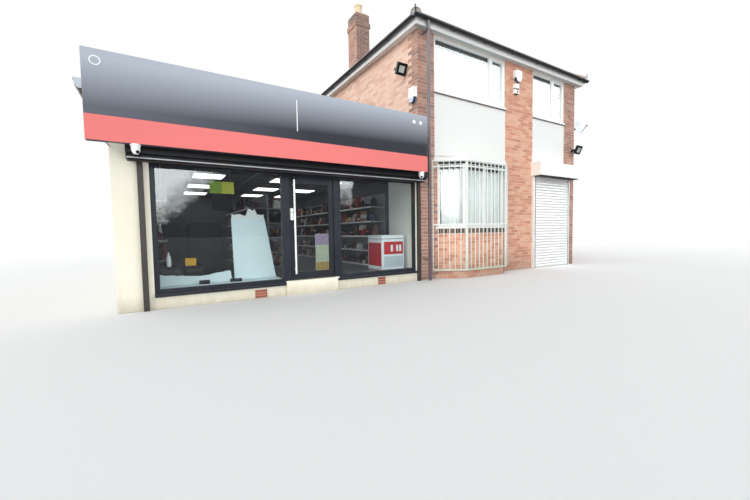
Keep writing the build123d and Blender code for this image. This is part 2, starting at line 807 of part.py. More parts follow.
# Roller shutter over the shopfront
shutter_x = (shop_left + shutter_box_start, left)
shutter_z = span(shutter_box_underside, shutter_box_height)
lip_top = shutter_z[0] + shutter_lip_height
box_outline = [
    (front, shutter_z[0]), (front - shutter_lip_projection, shutter_z[0]),
    (front - shutter_lip_projection, lip_top), (front - shutter_box_projection, lip_top),
    (front - shutter_box_projection, shutter_z[1]), (front, shutter_z[1]),
]
box_section = make_face(Polyline(*box_outline, close=True))
cap_outline = [(y, z - end_cap_reach if z == lip_top else z) for y, z in box_outline]
cap_section = box_section + make_face(Polyline(*cap_outline, close=True))
shutter_box = extrude(Plane.YZ * box_section, shutter_x[1] - shutter_x[0], dir=(1, 0, 0))
shutter_box = Pos(shutter_x[0], 0, 0) * shutter_box
shutter_box -= slab(
    (shutter_x[0] + end_cap, shutter_x[1] - end_cap),
    (front - shutter_slot[1], front - shutter_slot[0]), span(shutter_z[0], shutter_slot_depth),
)
shutter_box += Pos(shutter_x[0] - end_cap, 0, 0) * extrude(Plane.YZ * cap_section, end_cap, dir=(1, 0, 0))
save("shutter_box", shutter_box)
guide_y = (front - guide_projection, front)
save(
    "shutter_guide_rails",
    slab(span(shop_left + left_guide_start, guide_width), guide_y, (0, shutter_box_underside)),
    slab((left - guide_width, left), guide_y, (0, shutter_box_underside)),
)

# Sign tray and the brackets behind it
sign_x = (shop_left - sign_overrun, left - sign_right_setback)
sign_y = (front - sign_projection, front - sign_projection + sign_depth)
sign_z = span(sign_underside, sign_height)
tray = slab(sign_x, sign_y, sign_z)
tray -= slab(
    (sign_x[0] + sign_skin, sign_x[1] - sign_skin),
    (sign_y[0] + sign_skin, sign_y[1]),
    (sign_z[0] + sign_skin, sign_z[1] - sign_skin),
)
save("sign_tray", tray)
brackets = []
bracket_step = (sign_x[1] - sign_x[0] - 2 * bracket_inset) / (bracket_count - 1)
for index in range(bracket_count):
    middle = sign_x[0] + bracket_inset + index * bracket_step
    bracket_x = (middle - bracket_section / 2, middle + bracket_section / 2)
    post_y = (sign_y[0] + sign_skin, sign_y[1])
    post = slab(bracket_x, post_y, (sign_z[0] + sign_skin, sign_z[1] - sign_skin))
    arm = slab(bracket_x, (sign_y[0] + sign_skin, front + bracket_seat), span(deck_top, bracket_section))
    brackets.append(post + arm)
save("sign_brackets", *brackets)
stay_x = span(shop_left, stay_section)
tray_floor = sign_z[0] + sign_skin
stay_end = sign_y[1] - stay_foot
stay_outline = [
    (front, tray_floor + stay_rise),
    (front, tray_floor + stay_rise + stay_section),
    (stay_end - stay_foot, tray_floor + stay_section),
    (stay_end - stay_foot, tray_floor),
    (stay_end, tray_floor),
]
stay_face = Plane.YZ * make_face(Polyline(*stay_outline, close=True))
save("sign_end_stay", Pos(stay_x[0], 0, 0) * extrude(stay_face, stay_section, dir=(1, 0, 0)))

# Shop interior
lights = []
for column in light_columns:
    for row in light_rows:
        lights.append(
            slab(
                (left + column - light_length / 2, left + column + light_length / 2),
                (front + row - light_width / 2, front + row + light_width / 2),
                (ceiling_height - light_depth, ceiling_height),
            )
        )
save("ceiling_lights", *lights)


def shelf_unit(back_x, facing, y):
    """Open shelves in front of a back panel; facing is 1 to the right and -1 to the left."""
    def across(near, far):
        ends = (back_x + facing * near, back_x + facing * far)
        return (min(ends), max(ends))

    unit = slab(across(0, shelf_back), y, span(shop_floor_level, shelf_unit_height))
    step = shelf_unit_height / shelf_count
    for level in range(shelf_count):
        unit += slab(across(0, shelf_depth), y, span(shop_floor_level + level * step, shelf_board))
    return unit


wall_unit_y = (front + wall_unit_start, front + wall_unit_end)
island_y = (front + island_start, front + island_end)
island_x = left - island_centre
save(
    "shop_shelving",
    shelf_unit(shop_inside_left, 1, wall_unit_y),
    shelf_unit(left, -1, wall_unit_y),
    shelf_unit(island_x, 1, island_y) + shelf_unit(island_x, -1, island_y),
)
freezer_x = span(shop_left + freezer_start, freezer_width)
freezer_y = span(front + freezer_from_front, freezer_depth)
freezer_z = span(shop_floor_level, freezer_height)
freezer = slab(freezer_x, freezer_y, freezer_z)
freezer -= slab(
    (freezer_x[0] + freezer_wall, freezer_x[1] - freezer_wall),
    (freezer_y[0] + freezer_wall, freezer_y[1] - freezer_wall),
    (freezer_z[0] + freezer_wall, freezer_z[1] - freezer_lid),
)
save("chest_freezer", freezer)
display_x = span(shop_left + deck_start, display_deck_width)
display_y = span(inside_front, display_deck_depth)
display_z = span(shop_floor_level, display_deck_height)
save("window_display_deck", slab(display_x, display_y, display_z))
board_x = span(shop_left + board_start, board_width)
board_outline = [(0, 0), (board_width, 0), (board_top_width, board_height), (0, board_height)]
board_face = Plane.XZ * make_face(Polyline(*board_outline, close=True))
leaning_board = extrude(board_face, board_thickness, dir=(0, 1, 0))
board_foot = display_z[1] + board_thickness * sin(radians(board_lean))
board_place = Pos(board_x[0], front + board_from_front, board_foot) * Rot(-board_lean, 0, 0)
save("leaning_board", board_place * leaning_board)
cabinet_x = span(shop_left + cabinet_start, cabinet_width)
cabinet_y = span(front + cabinet_from_front, cabinet_depth)
cabinet = slab(cabinet_x, cabinet_y, span(shop_floor_level, cabinet_height))
top_corners = cabinet.edges().filter_by(Axis.Y).group_by(Axis.Z)[-1]
save("dark_cabinet", chamfer(top_corners, cabinet_corner))

# Cameras under the sign, each a round rose and drum that narrow to the eye
camera_outline = [
    (0, 0), (camera_rose[0], 0), (camera_rose[0], -camera_rose[1]), (camera_drum[0], -camera_rose[1]),
    (camera_drum[0], -camera_drum[1]), (camera_eye[0], -camera_eye[1]), (0, -camera_eye[1]),
]
camera = revolve(Plane.XZ * make_face(Polyline(*camera_outline, close=True)), Axis.Z)
camera_y = (sign_y[0] + sign_y[1]) / 2
save(
    "security_cameras",
    *(
        Pos(camera_x, camera_y, sign_underside) * camera
        for camera_x in (shutter_x[0] + camera_from_end, sign_x[1] - camera_from_end)
    ),
)


def bell_box(size, foot):
    """An alarm cover that narrows towards its foot, on a plate against the plane at zero, facing -Y."""
    width, height, depth = size
    def outline(reach):
        half = width / 2 + reach
        low, high = foot - reach, foot + height + reach
        points = [(-half, high), (half, high), (half, low + height / 3), (half / 2, low), (-half / 2, low),
                  (-half, low + height / 3)]
        return Plane.XZ * make_face(Polyline(*points, close=True))
    cover = extrude(outline(0), depth, dir=(0, -1, 0))
    return cover + extrude(outline(alarm_plate_reach), alarm_plate, dir=(0, -1, 0))


def sensor():
    """A round-eyed sensor: a box above, a narrow neck and a head below, facing -Y."""
    width, height, depth = sensor_size
    head_top = sensor_foot + height
    box_foot = head_top + sensor_neck[1]
    body = slab((-width / 2, width / 2), (-depth, 0), span(box_foot, height))
    body += slab((-sensor_neck[0] / 2, sensor_neck[0] / 2), (-depth / 2, 0), (head_top, box_foot))
    return body + slab((-width / 2, width / 2), (-depth, 0), span(sensor_foot, height))


save(
    "alarm_boxes",
    Pos(left + front_alarm_at, front, 0) * bell_box(front_alarm_size, front_alarm_foot),
    Pos(left, front + side_alarm_at, 0) * Rot(0, 0, -90) * bell_box(side_alarm_size, side_alarm_foot),
    Pos(left + sensor_at, front, 0) * sensor(),
)


def floodlight():
    """A lamp head tilted down in a yoke, centred on its own middle, facing -Y."""
    width, depth, height = lamp_size
    head = Box(width, depth, height) + Pos(0, depth / 2, 0) * Box(*lamp_sink)
    head -= Pos(0, -depth / 2, 0) * Box(width - 2 * lamp_border, 2 * lamp_recess, height - 2 * lamp_border)
    half = width / 2 + yoke_strap
    strap_z = (-yoke_width / 2, yoke_width / 2)
    yoke = slab((-half, half), (yoke_back - yoke_strap, yoke_back), strap_z)
    for side in (-1, 1):
        arm_x = sorted((side * width / 2, side * half))
        yoke += slab(arm_x, (-depth / 4, yoke_back), strap_z)
    return Rot(lamp_tilt, 0, 0) * head + yoke


stub = (-yoke_width / 2, yoke_width / 2)
plate, plate_depth = wall_plate
side_stub_x = (lamp_size[0] / 2, side_lamp_from_wall)
side_lamp = floodlight() + slab(side_stub_x, (yoke_back - yoke_width, yoke_back), stub)
side_lamp += slab(
    (side_lamp_from_wall - plate_depth, side_lamp_from_wall),
    span(yoke_back - yoke_width / 2 - plate / 2, plate), (-plate / 2, plate / 2),
)
front_lamp = floodlight() + slab(stub, (yoke_back - yoke_strap, front_lamp_from_wall), stub)
front_lamp += Pos(0, front_lamp_from_wall - plate_depth / 2, 0) * Box(plate, plate_depth, plate)
save(
    "floodlights",
    Pos(left - side_lamp_from_wall, front + side_lamp_at, side_lamp_height) * side_lamp,
    Pos(right - front_lamp_from_right, front - front_lamp_from_wall, front_lamp_height) * front_lamp,
)

def square_bar(start, end, width):
    """A square bar between two points."""
    direction = Vector(*end) - Vector(*start)
    return Plane(origin=start, z_dir=direction) * extrude(Rectangle(width, width), direction.length)


# Satellite dish on a bracket on the right wall, its feed head on a strut from the lower rim
bowl_line = [(0, 0), (dish_radius / 2, dish_depth / 4), (dish_radius, dish_depth)]
bowl_section = bowl_line + [(reach, level + dish_thickness) for reach, level in reversed(bowl_line)]
bowl = revolve(Plane.XZ * make_face(Polyline(*bowl_section, close=True)), Axis.Z)
strut_foot = (0, -0.8 * dish_radius, 0.64 * dish_depth)
feed = (0, -dish_radius / 2, feed_length)
bowl += square_bar(strut_foot, feed, dish_bracket)
bowl += Pos(*feed) * Box(feed_head, feed_head, 2 * feed_head)
dish_centre = (right + dish_from_wall, front + dish_from_front, dish_height)
dish_back = (dish_centre[0], dish_centre[1] + dish_bracket_back, dish_height)
dish = Pos(*dish_centre) * Rot(0, 0, dish_turn) * Rot(90 - dish_tilt, 0, 0) * bowl
dish_seat = (dish_centre[0], dish_centre[1] - dish_thickness / 2, dish_height)
dish += square_bar(dish_seat, dish_back, 2 * dish_bracket)
dish += square_bar((right, dish_back[1], dish_height), dish_back, 2 * dish_bracket)
dish += Pos(*dish_back) * Box(3 * dish_bracket, 3 * dish_bracket, 3 * dish_bracket)
save("satellite_dish", dish)
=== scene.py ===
"""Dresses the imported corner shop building: its finishes, brickwork, tiles, fittings and stock."""

from __future__ import annotations

import json
import logging
import math
import random
from dataclasses import dataclass, field
from enum import Enum
from typing import Callable, Sequence

import bpy
from mathutils import Matrix, Vector

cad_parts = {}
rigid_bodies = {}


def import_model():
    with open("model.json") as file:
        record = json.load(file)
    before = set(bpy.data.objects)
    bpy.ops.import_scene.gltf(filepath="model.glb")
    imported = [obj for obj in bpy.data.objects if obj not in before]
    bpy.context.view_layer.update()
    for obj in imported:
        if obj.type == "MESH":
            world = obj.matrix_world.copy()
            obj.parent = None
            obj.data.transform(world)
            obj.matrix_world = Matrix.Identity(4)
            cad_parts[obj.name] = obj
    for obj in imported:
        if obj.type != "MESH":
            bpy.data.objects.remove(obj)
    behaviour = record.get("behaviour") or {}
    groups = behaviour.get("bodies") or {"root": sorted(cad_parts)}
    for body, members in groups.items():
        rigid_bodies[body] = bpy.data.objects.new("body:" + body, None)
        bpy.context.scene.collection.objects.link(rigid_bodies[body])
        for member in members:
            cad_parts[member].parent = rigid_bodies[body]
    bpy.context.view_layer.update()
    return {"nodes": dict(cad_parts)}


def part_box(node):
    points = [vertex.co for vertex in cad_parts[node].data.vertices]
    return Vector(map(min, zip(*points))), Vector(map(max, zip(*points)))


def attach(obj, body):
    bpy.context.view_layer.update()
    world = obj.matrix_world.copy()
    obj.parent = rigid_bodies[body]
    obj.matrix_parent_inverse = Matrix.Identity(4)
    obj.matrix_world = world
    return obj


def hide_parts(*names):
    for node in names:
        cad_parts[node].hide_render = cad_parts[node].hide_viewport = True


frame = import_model()

LOG = logging.getLogger("corner_shop")
Point = tuple[float, float, float]
Plan = tuple[float, float]
Colour = tuple[float, float, float, float]
Node = bpy.types.Node
Socket = bpy.types.NodeSocket
BUILDING = "building"
DOOR = "shop_door"
TOUCH = 0.001
FULL_TURN = 2 * math.pi


def rgb(red: float, green: float, blue: float) -> Colour:
    """Turn screen values from 0 to 255 into a linear colour."""
    return tuple((v / 255 / 12.92) if v <= 10 else ((v / 255 + 0.055) / 1.055) ** 2.4
                 for v in (red, green, blue)) + (1.0,)


# Effects that several materials share


class Coordinate(Enum):
    """The coordinates that a texture follows."""

    OBJECT = "Object"
    GENERATED = "Generated"


class Output(Enum):
    """The output node of a tree."""

    MATERIAL = "Material Output"
    WORLD = "World Output"


class Graph:
    """A short hand for adding and joining the nodes of one tree."""

    def __init__(self, tree: bpy.types.NodeTree) -> None:
        """Keep the node tree of a material, a group or the world."""
        self.tree = tree

    def add(self, kind: str, **inputs: object) -> Node:
        """Add one node and fill its inputs.

        Args:
            kind: the node's type without its ShaderNode start.
            inputs: values or output sockets by input name, with _ for a space.

        Returns:
            The new node.
        """
        node = self.tree.nodes.new("ShaderNode" + kind)
        self.fill(node, **inputs)
        return node

    def fill(self, node: Node, **inputs: object) -> None:
        """Feed inputs by name, with _ for a space."""
        for name, value in inputs.items():
            self.feed(node, name.replace("_", " "), value)

    def feed(self, node: Node, name: str | int, value: object) -> None:
        """Set an input to a value, or link an output to it.

        Args:
            node: the node that has the input.
            name: the input's name or number.
            value: a value or an output socket.
        """
        if isinstance(value, Socket):
            self.tree.links.new(value, node.inputs[name])
        else:
            node.inputs[name].default_value = value

    def maths(self, operation: str, first: object, second: object = 0.0, third: object = 0.0,
              clamp: bool = False) -> Socket:
        """Join values by one sum.

        Args:
            operation: the name of the sum, such as MULTIPLY.
            first: a value or socket.
            second: a value or socket.
            third: a value or socket, for a sum that takes three.
            clamp: whether the result stays between 0 and 1.

        Returns:
            The output socket.
        """
        node = self.add("Math")
        node.operation = operation
        node.use_clamp = clamp
        for index, value in enumerate((first, second, third)):
            self.feed(node, index, value)
        return node.outputs[0]

    def mix(self, share: object, first: object, second: object, blend: str = "MIX") -> Socket:
        """Mix two colours by a share from 0 to 1.

        Args:
            share: how much of the second colour shows.
            first: a colour or socket.
            second: a colour or socket.
            blend: the way of mixing.

        Returns:
            The colour output.
        """
        node = self.add("Mix")
        node.data_type = "RGBA"
        node.blend_type = blend
        for index, value in ((0, share), (6, first), (7, second)):
            self.feed(node, index, value)
        return node.outputs[2]

    def ramp(self, value: object, low: object, high: object) -> Socket:
        """Spread the stretch between two values over 0 to 1."""
        return self.add("MapRange", Value=value, From_Min=low, From_Max=high).outputs[0]

    def where(self, kind: Coordinate) -> Socket:
        """Give the coordinates of one kind."""
        return self.add("TexCoord").outputs[kind.value]

    def place(self, scale: Point = (1.0, 1.0, 1.0)) -> Socket:
        """Give the object's own coordinates in metres, stretched by a scale."""
        return self.add("Mapping", Vector=self.where(Coordinate.OBJECT), Scale=scale).outputs[0]

    def noise(self, place: Socket, scale: object, detail: float, roughness: float = 0.5) -> Socket:
        """Give soft noise of so many waves in a metre, with finer and rougher ones over them."""
        return self.add("TexNoise", Vector=place, Scale=scale, Detail=detail,
                        Roughness=roughness).outputs[0]

    def split(self, place: Socket) -> Sequence[Socket]:
        """Give the x, y and z of some coordinates."""
        return self.add("SeparateXYZ", Vector=place).outputs

    def blend(self, share: Socket, first: Node, second: Node) -> Node:
        """Mix the shaders of two nodes.

        Args:
            share: how much of the second shader shows, from 0 to 1.
            first: the first shader's node.
            second: the second shader's node.

        Returns:
            The mixing node.
        """
        node = self.add("MixShader", Fac=share)
        self.feed(node, 1, first.outputs[0])
        self.feed(node, 2, second.outputs[0])
        return node

    def show(self, shader: Node, output: Output = Output.MATERIAL) -> None:
        """Let the tree's surface show a shader."""
        self.feed(self.tree.nodes[output.value], "Surface", shader.outputs[0])


class Effect(Enum):
    """The shader groups that materials share."""

    BLOTCH = "Blotch"
    GRAIN = "Fine grain"
    STREAKS = "Rain streaks"
    SPLASH = "Splashed foot"


def start_group(which: Effect, takes: dict[str, str],
                gives: dict[str, str]) -> tuple[Graph, dict, Node]:
    """Start a shader group with named inputs and outputs.

    Args:
        which: the effect, which names the group.
        takes: the socket type of each input by its name.
        gives: the socket type of each output by its name.

    Returns:
        A graph on the group, the group's inputs by name, and its output node.
    """
    group = bpy.data.node_groups.new(which.value, "ShaderNodeTree")
    for side, sockets in (("INPUT", takes), ("OUTPUT", gives)):
        for title, kind in sockets.items():
            group.interface.new_socket(title, in_out=side, socket_type="NodeSocket" + kind)
    inputs = group.nodes.new("NodeGroupInput").outputs
    end = group.nodes.new("NodeGroupOutput")
    return Graph(group), {title: inputs[title] for title in takes}, end


def blotch_mask(graph: Graph, takes: dict[str, Socket]) -> Socket:
    """Give 1 in large soft patches."""
    return graph.ramp(graph.noise(graph.place(), takes["Scale"], 6.0, 0.6), 0.38, 0.68)


def streak_mask(graph: Graph, takes: dict[str, Socket]) -> Socket:
    """Give 1 in lines that rain draws out downwards, in wide patches.

    Args:
        graph: the group's graph.
        takes: its input sockets by name, which are not used.

    Returns:
        The value output.
    """
    lines = graph.ramp(graph.noise(graph.place((9.0, 9.0, 0.7)), 1.6, 4.0, 0.65), 0.50, 0.80)
    patches = graph.ramp(graph.noise(graph.place(), 0.9, 2.0), 0.35, 0.65)
    return graph.maths("MULTIPLY", lines, patches)


def splash_mask(graph: Graph, takes: dict[str, Socket]) -> Socket:
    """Give 1 at the ground and 0 from an uneven height up.

    Args:
        graph: the group's graph.
        takes: its input sockets by name.

    Returns:
        The value output.
    """
    uneven = graph.noise(graph.place((1.0, 1.0, 0.5)), 7.0, 5.0, 0.7)
    level = graph.maths("MULTIPLY_ADD", uneven, -0.25, graph.split(graph.place())[2])
    return graph.maths("SUBTRACT", 1.0, graph.ramp(level, -0.12, takes["Height"]))


MASKS = {
    Effect.BLOTCH: (blotch_mask, {"Scale": "Float"}),
    Effect.STREAKS: (streak_mask, {}),
    Effect.SPLASH: (splash_mask, {"Height": "Float"}),
}


def build_layer(which: Effect) -> bpy.types.NodeTree:
    """Build a group that lets a second colour show where its mask is 1.

    Args:
        which: the effect, which has the mask.

    Returns:
        The group.
    """
    mask_of, measures = MASKS[which]
    takes = {"Colour": "Color", "Second Colour": "Color", "Amount": "Float", **measures}
    graph, takes, gives = start_group(which, takes, {"Colour": "Color"})
    mask = graph.maths("MULTIPLY", mask_of(graph, takes), takes["Amount"], clamp=True)
    graph.fill(gives, Colour=graph.mix(mask, takes["Colour"], takes["Second Colour"]))
    return graph.tree


def build_grain() -> bpy.types.NodeTree:
    """Build the group of fine grit, which gives a height and darkens the colour in its pits.

    Returns:
        The group.
    """
    graph, takes, gives = start_group(
        Effect.GRAIN, {"Colour": "Color", "Scale": "Float", "Amount": "Float"},
        {"Colour": "Color", "Height": "Float"})
    height = graph.noise(graph.place(), takes["Scale"], 5.0, 0.7)
    dark = graph.mix(1.0, takes["Colour"], (0.55, 0.53, 0.50, 1.0), "MULTIPLY")
    pits = graph.maths("SUBTRACT", 1.0, graph.ramp(height, 0.25, 0.75))
    gritty = graph.mix(pits, takes["Colour"], dark)
    graph.fill(gives, Colour=graph.mix(takes["Amount"], takes["Colour"], gritty), Height=height)
    return graph.tree


def effect(graph: Graph, which: Effect, **inputs: object) -> Node:
    """Place a shared group in a material, building it at its first use.

    Args:
        graph: the material's graph.
        which: the effect.
        inputs: values or sockets by input name, with _ for a space.

    Returns:
        The group node.
    """
    tree = bpy.data.node_groups.get(which.value)
    node = graph.tree.nodes.new("ShaderNodeGroup")
    node.node_tree = tree or (build_grain() if which is Effect.GRAIN else build_layer(which))
    graph.fill(node, **inputs)
    return node


# Finishes


@dataclass(frozen=True)
class Surface:
    """The name and the colour that every finish has."""

    name: str
    colour: Colour

    def material(self) -> bpy.types.Material:
        """Make the material at its first use.

        Returns:
            The finish's material.
        """
        made = bpy.data.materials.get(self.name)
        if not made:
            made = bpy.data.materials.new(self.name)
            made.use_nodes = True
            self.shade(Graph(made.node_tree), made.node_tree.nodes["Principled BSDF"])
        return made

    def shade(self, graph: Graph, shader: Node) -> None:
        """Give the shader the plain colour."""
        graph.fill(shader, Base_Color=self.colour)


@dataclass(frozen=True)
class Finish(Surface):
    """A solid surface: its gloss, patches, grit and dirt, and any glow of painted light."""

    roughness: float = 0.5
    metallic: float = 0.0
    patch: Colour | None = None
    patch_scale: float = 2.0
    patch_amount: float = 0.5
    grain_scale: float = 60.0
    grain_amount: float = 0.2
    bump: float = 0.001
    streaks: float = 0.0
    splash: float = 0.0
    splash_height: float = 0.5
    dirt: Colour = (0.10, 0.095, 0.075, 1.0)
    specular: float = 0.2
    # glow is painted light: it makes a surface that is no lamp give off light.
    glow: float = 0.0
    gloss_spread: float = 0.16
    least_roughness: float = 0.02
    tones: tuple[Colour, ...] = ()

    def shade(self, graph: Graph, shader: Node) -> None:
        """Lay patches, grit, streaks and splashes over the base colour.

        Args:
            graph: the material's graph.
            shader: its principled shader.
        """
        colour = self.base(graph)
        if self.patch:
            colour = effect(graph, Effect.BLOTCH, Colour=colour, Second_Colour=self.patch,
                            Scale=self.patch_scale, Amount=self.patch_amount).outputs[0]
        grit = effect(graph, Effect.GRAIN, Colour=colour, Scale=self.grain_scale,
                      Amount=self.grain_amount)
        colour, height = grit.outputs["Colour"], grit.outputs["Height"]
        if self.streaks:
            colour = effect(graph, Effect.STREAKS, Colour=colour, Second_Colour=self.dirt,
                            Amount=self.streaks).outputs[0]
        if self.splash:
            colour = effect(graph, Effect.SPLASH, Colour=colour, Second_Colour=self.dirt,
                            Height=self.splash_height, Amount=self.splash).outputs[0]
        bump = graph.add("Bump", Height=height, Strength=1.0, Distance=self.bump)
        smoothest = max(self.roughness - self.gloss_spread / 2, self.least_roughness)
        rough = graph.maths("MULTIPLY_ADD", graph.ramp(height, 0.0, 1.0), self.gloss_spread,
                            smoothest)
        graph.fill(shader, Base_Color=colour, Normal=bump.outputs[0], Roughness=rough,
                   Metallic=self.metallic, Specular_IOR_Level=self.specular,
                   Emission_Color=self.colour, Emission_Strength=self.glow)

    def base(self, graph: Graph) -> object:
        """Give the plain colour, or one picked by each small piece's own tone.

        Args:
            graph: the material's graph.

        Returns:
            A colour or a colour socket.
        """
        if not self.tones:
            return self.colour
        tone = graph.add("Attribute")
        tone.attribute_name = "tone"
        ramp = graph.add("ValToRGB", Fac=tone.outputs["Fac"])
        ramp.color_ramp.interpolation = "CONSTANT"
        stops = (self.colour,) + self.tones
        elements = ramp.color_ramp.elements
        while len(elements) < len(stops):
            elements.new(0.5)
        for index, stop in enumerate(stops):
            elements[index].position = index / len(stops)
            elements[index].color = stop
        return ramp.outputs[0]


@dataclass(frozen=True)
class TiledFinish(Finish):
    """A finish with joints on a square or oblong grid in plan."""

    tile: Plan = (0.6, 0.6)
    joint: float = 0.006
    joint_colour: Colour = (0.3, 0.3, 0.3, 1.0)

    def base(self, graph: Graph) -> object:
        """Draw the joints over the plain colour.

        Args:
            graph: the material's graph.

        Returns:
            The colour socket.
        """
        masks = []
        for at, size in zip(graph.split(graph.place()), self.tile):
            inside = graph.maths("FRACT", graph.maths("DIVIDE", at, size))
            masks.append(graph.maths("LESS_THAN", inside, self.joint / size))
        return graph.mix(graph.maths("MAXIMUM", *masks), self.colour, self.joint_colour)


@dataclass(frozen=True)
class ReflectionPaintedFinish(Finish):
    """A painted reflection: a colour that lightens upwards into a second colour, from a foot that
    darkens to the right, in place of the sky reflected in a glossy face.
    """

    upper: Colour = (0.5, 0.5, 0.5, 1.0)
    right: Colour = (0.5, 0.5, 0.5, 1.0)
    foot: float = 0.0
    top: float = 1.0
    reach: float = 5.4
    tilt: float = 0.02

    def base(self, graph: Graph) -> object:
        """Paint the reflection's colour over the face's length and height.

        Args:
            graph: the material's graph.

        Returns:
            The colour socket.
        """
        x, _, z = graph.split(graph.place())
        low = graph.mix(graph.ramp(x, -self.reach, -self.reach / 2), self.colour, self.right)
        shift = graph.maths("MULTIPLY", graph.maths("ADD", x, self.reach), self.tilt)
        level = graph.maths("SUBTRACT", z, shift)
        return graph.mix(graph.ramp(level, self.foot, self.top), low, self.upper)


@dataclass(frozen=True)
class GlassFinish(Surface):
    """Clear glass, slightly rippled, that lets daylight through without a hard shadow.

    One slab stands for a sealed pair of panes, so its index is set to reflect as much as both.
    """

    index: float = 1.8
    ripple_scale: float = 1.3
    ripple_strength: float = 0.25
    ripple_height: float = 0.004

    def shade(self, graph: Graph, shader: Node) -> None:
        """Bend the light of rays that are seen, and let the rest straight through.

        Args:
            graph: the material's graph.
            shader: its principled shader.
        """
        ripple = graph.noise(graph.place(), self.ripple_scale, 1.0)
        bump = graph.add("Bump", Height=ripple, Strength=self.ripple_strength,
                         Distance=self.ripple_height)
        graph.fill(shader, Base_Color=self.colour, Roughness=0.0, Transmission_Weight=1.0,
                   IOR=self.index, Normal=bump.outputs[0])
        rays = graph.add("LightPath").outputs
        through = graph.maths("MAXIMUM", rays["Is Shadow Ray"], rays["Is Diffuse Ray"])
        graph.show(graph.blend(through, shader, graph.add("BsdfTransparent", Color=self.colour)))


@dataclass(frozen=True)
class LampFinish(Surface):
    """A lit panel."""

    strength: float = 1.0

    def shade(self, graph: Graph, shader: Node) -> None:
        """Let the panel glow in its own colour."""
        graph.fill(shader, Base_Color=self.colour, Roughness=0.4, Emission_Color=self.colour,
                   Emission_Strength=self.strength)


MORTAR = Finish(
    "mortar", rgb(236, 216, 200), 0.9, patch=rgb(206, 184, 168), grain_scale=140, grain_amount=0.25,
    bump=0.002, streaks=0.15, splash=0.35, specular=0.1)
BRICK = Finish(
    "facing_brick", rgb(238, 182, 156), 0.85, grain_scale=90, grain_amount=0.25, bump=0.0025,
    patch=rgb(228, 166, 140), patch_scale=5.0, patch_amount=0.3, streaks=0.08, splash=0.35,
    specular=0.1, tones=(rgb(242, 192, 166), rgb(230, 168, 142), rgb(244, 200, 174),
    rgb(226, 162, 138), rgb(238, 188, 162), rgb(216, 154, 134)))
# Painted light: a paler copy of the facing brick for the left wall, on which the light falls most.
LIT_PALE_BRICK = Finish(
    "pale_brick", rgb(250, 212, 192), 0.85, grain_scale=90, grain_amount=0.22, bump=0.0025,
    patch=rgb(242, 200, 180), patch_scale=5.0, patch_amount=0.3, streaks=0.08, specular=0.1,
    tones=(rgb(252, 218, 200), rgb(244, 202, 182), rgb(252, 220, 204), rgb(240, 196, 176),
    rgb(250, 214, 194), rgb(232, 188, 168)))
# Duller brick: on the front corner piers and on the left wall's strip by the front corner, its
# darkness is painted shade. It also covers the chimney's left and rear faces up to the top of the
# band.
WEATHERED_AND_SHADED_BRICK = Finish(
    "weathered_brick", rgb(206, 164, 148), 0.88, grain_scale=80, grain_amount=0.4, bump=0.003,
    patch=rgb(168, 132, 118), patch_scale=4.0, patch_amount=0.4, streaks=0.2, splash=0.4,
    specular=0.1, tones=(rgb(196, 154, 138), rgb(214, 172, 154), rgb(184, 146, 134),
    rgb(208, 160, 142), rgb(172, 140, 132), rgb(200, 164, 152)))
# Darkest brick, for the chimney: on the front and right faces, which get less light than the left,
# its darkness is painted shade. It also covers every face above the band.
SOOTY_AND_SHADED_BRICK = Finish(
    "sooty_brick", rgb(160, 134, 128), 0.88, grain_scale=80, grain_amount=0.45, bump=0.003,
    patch=rgb(128, 112, 108), patch_scale=4.0, patch_amount=0.5, streaks=0.3, specular=0.1,
    tones=(rgb(150, 126, 120), rgb(176, 144, 134), rgb(134, 116, 112), rgb(166, 136, 126)))
# Dark bricks on edge under the bay's sill: partly a real dark course, partly painted shade under
# the sill.
EDGE_BRICK_AND_SHADE = Finish(
    "edge_brick", rgb(104, 92, 88), 0.8, grain_scale=80, grain_amount=0.4, bump=0.003,
    tones=(rgb(120, 104, 98), rgb(92, 84, 84), rgb(132, 112, 102)))
CREAM_RENDER = Finish(
    "cream_render", rgb(244, 240, 224), 0.8, patch=rgb(236, 228, 206), patch_scale=1.2,
    patch_amount=0.4, grain_scale=220, grain_amount=0.12, bump=0.0015, streaks=0.12, splash=0.5,
    splash_height=0.10, dirt=rgb(150, 138, 112))
TILE = Finish(
    "roof_tile", rgb(76, 66, 62), 0.85, grain_scale=120, grain_amount=0.5, bump=0.002,
    patch=rgb(70, 72, 62), patch_scale=3.0, patch_amount=0.45, tones=(rgb(66, 58, 55),
    rgb(86, 74, 68), rgb(60, 54, 52)))
CEMENT = Finish(
    "cement", rgb(206, 202, 194), 0.9, grain_scale=110, grain_amount=0.35, bump=0.004,
    patch=rgb(168, 166, 158), patch_scale=9)
CLAY_POT = Finish(
    "clay_pot", rgb(244, 228, 192), 0.8, grain_scale=60, grain_amount=0.25, bump=0.002,
    patch=rgb(196, 172, 128), patch_scale=6, patch_amount=0.35)
WHITE_BOARD = Finish(
    "white_board", rgb(248, 248, 245), 0.45, patch=rgb(240, 240, 234), patch_scale=1.5,
    grain_scale=30, grain_amount=0.05, bump=0.0004, streaks=0.15, dirt=rgb(176, 172, 160))
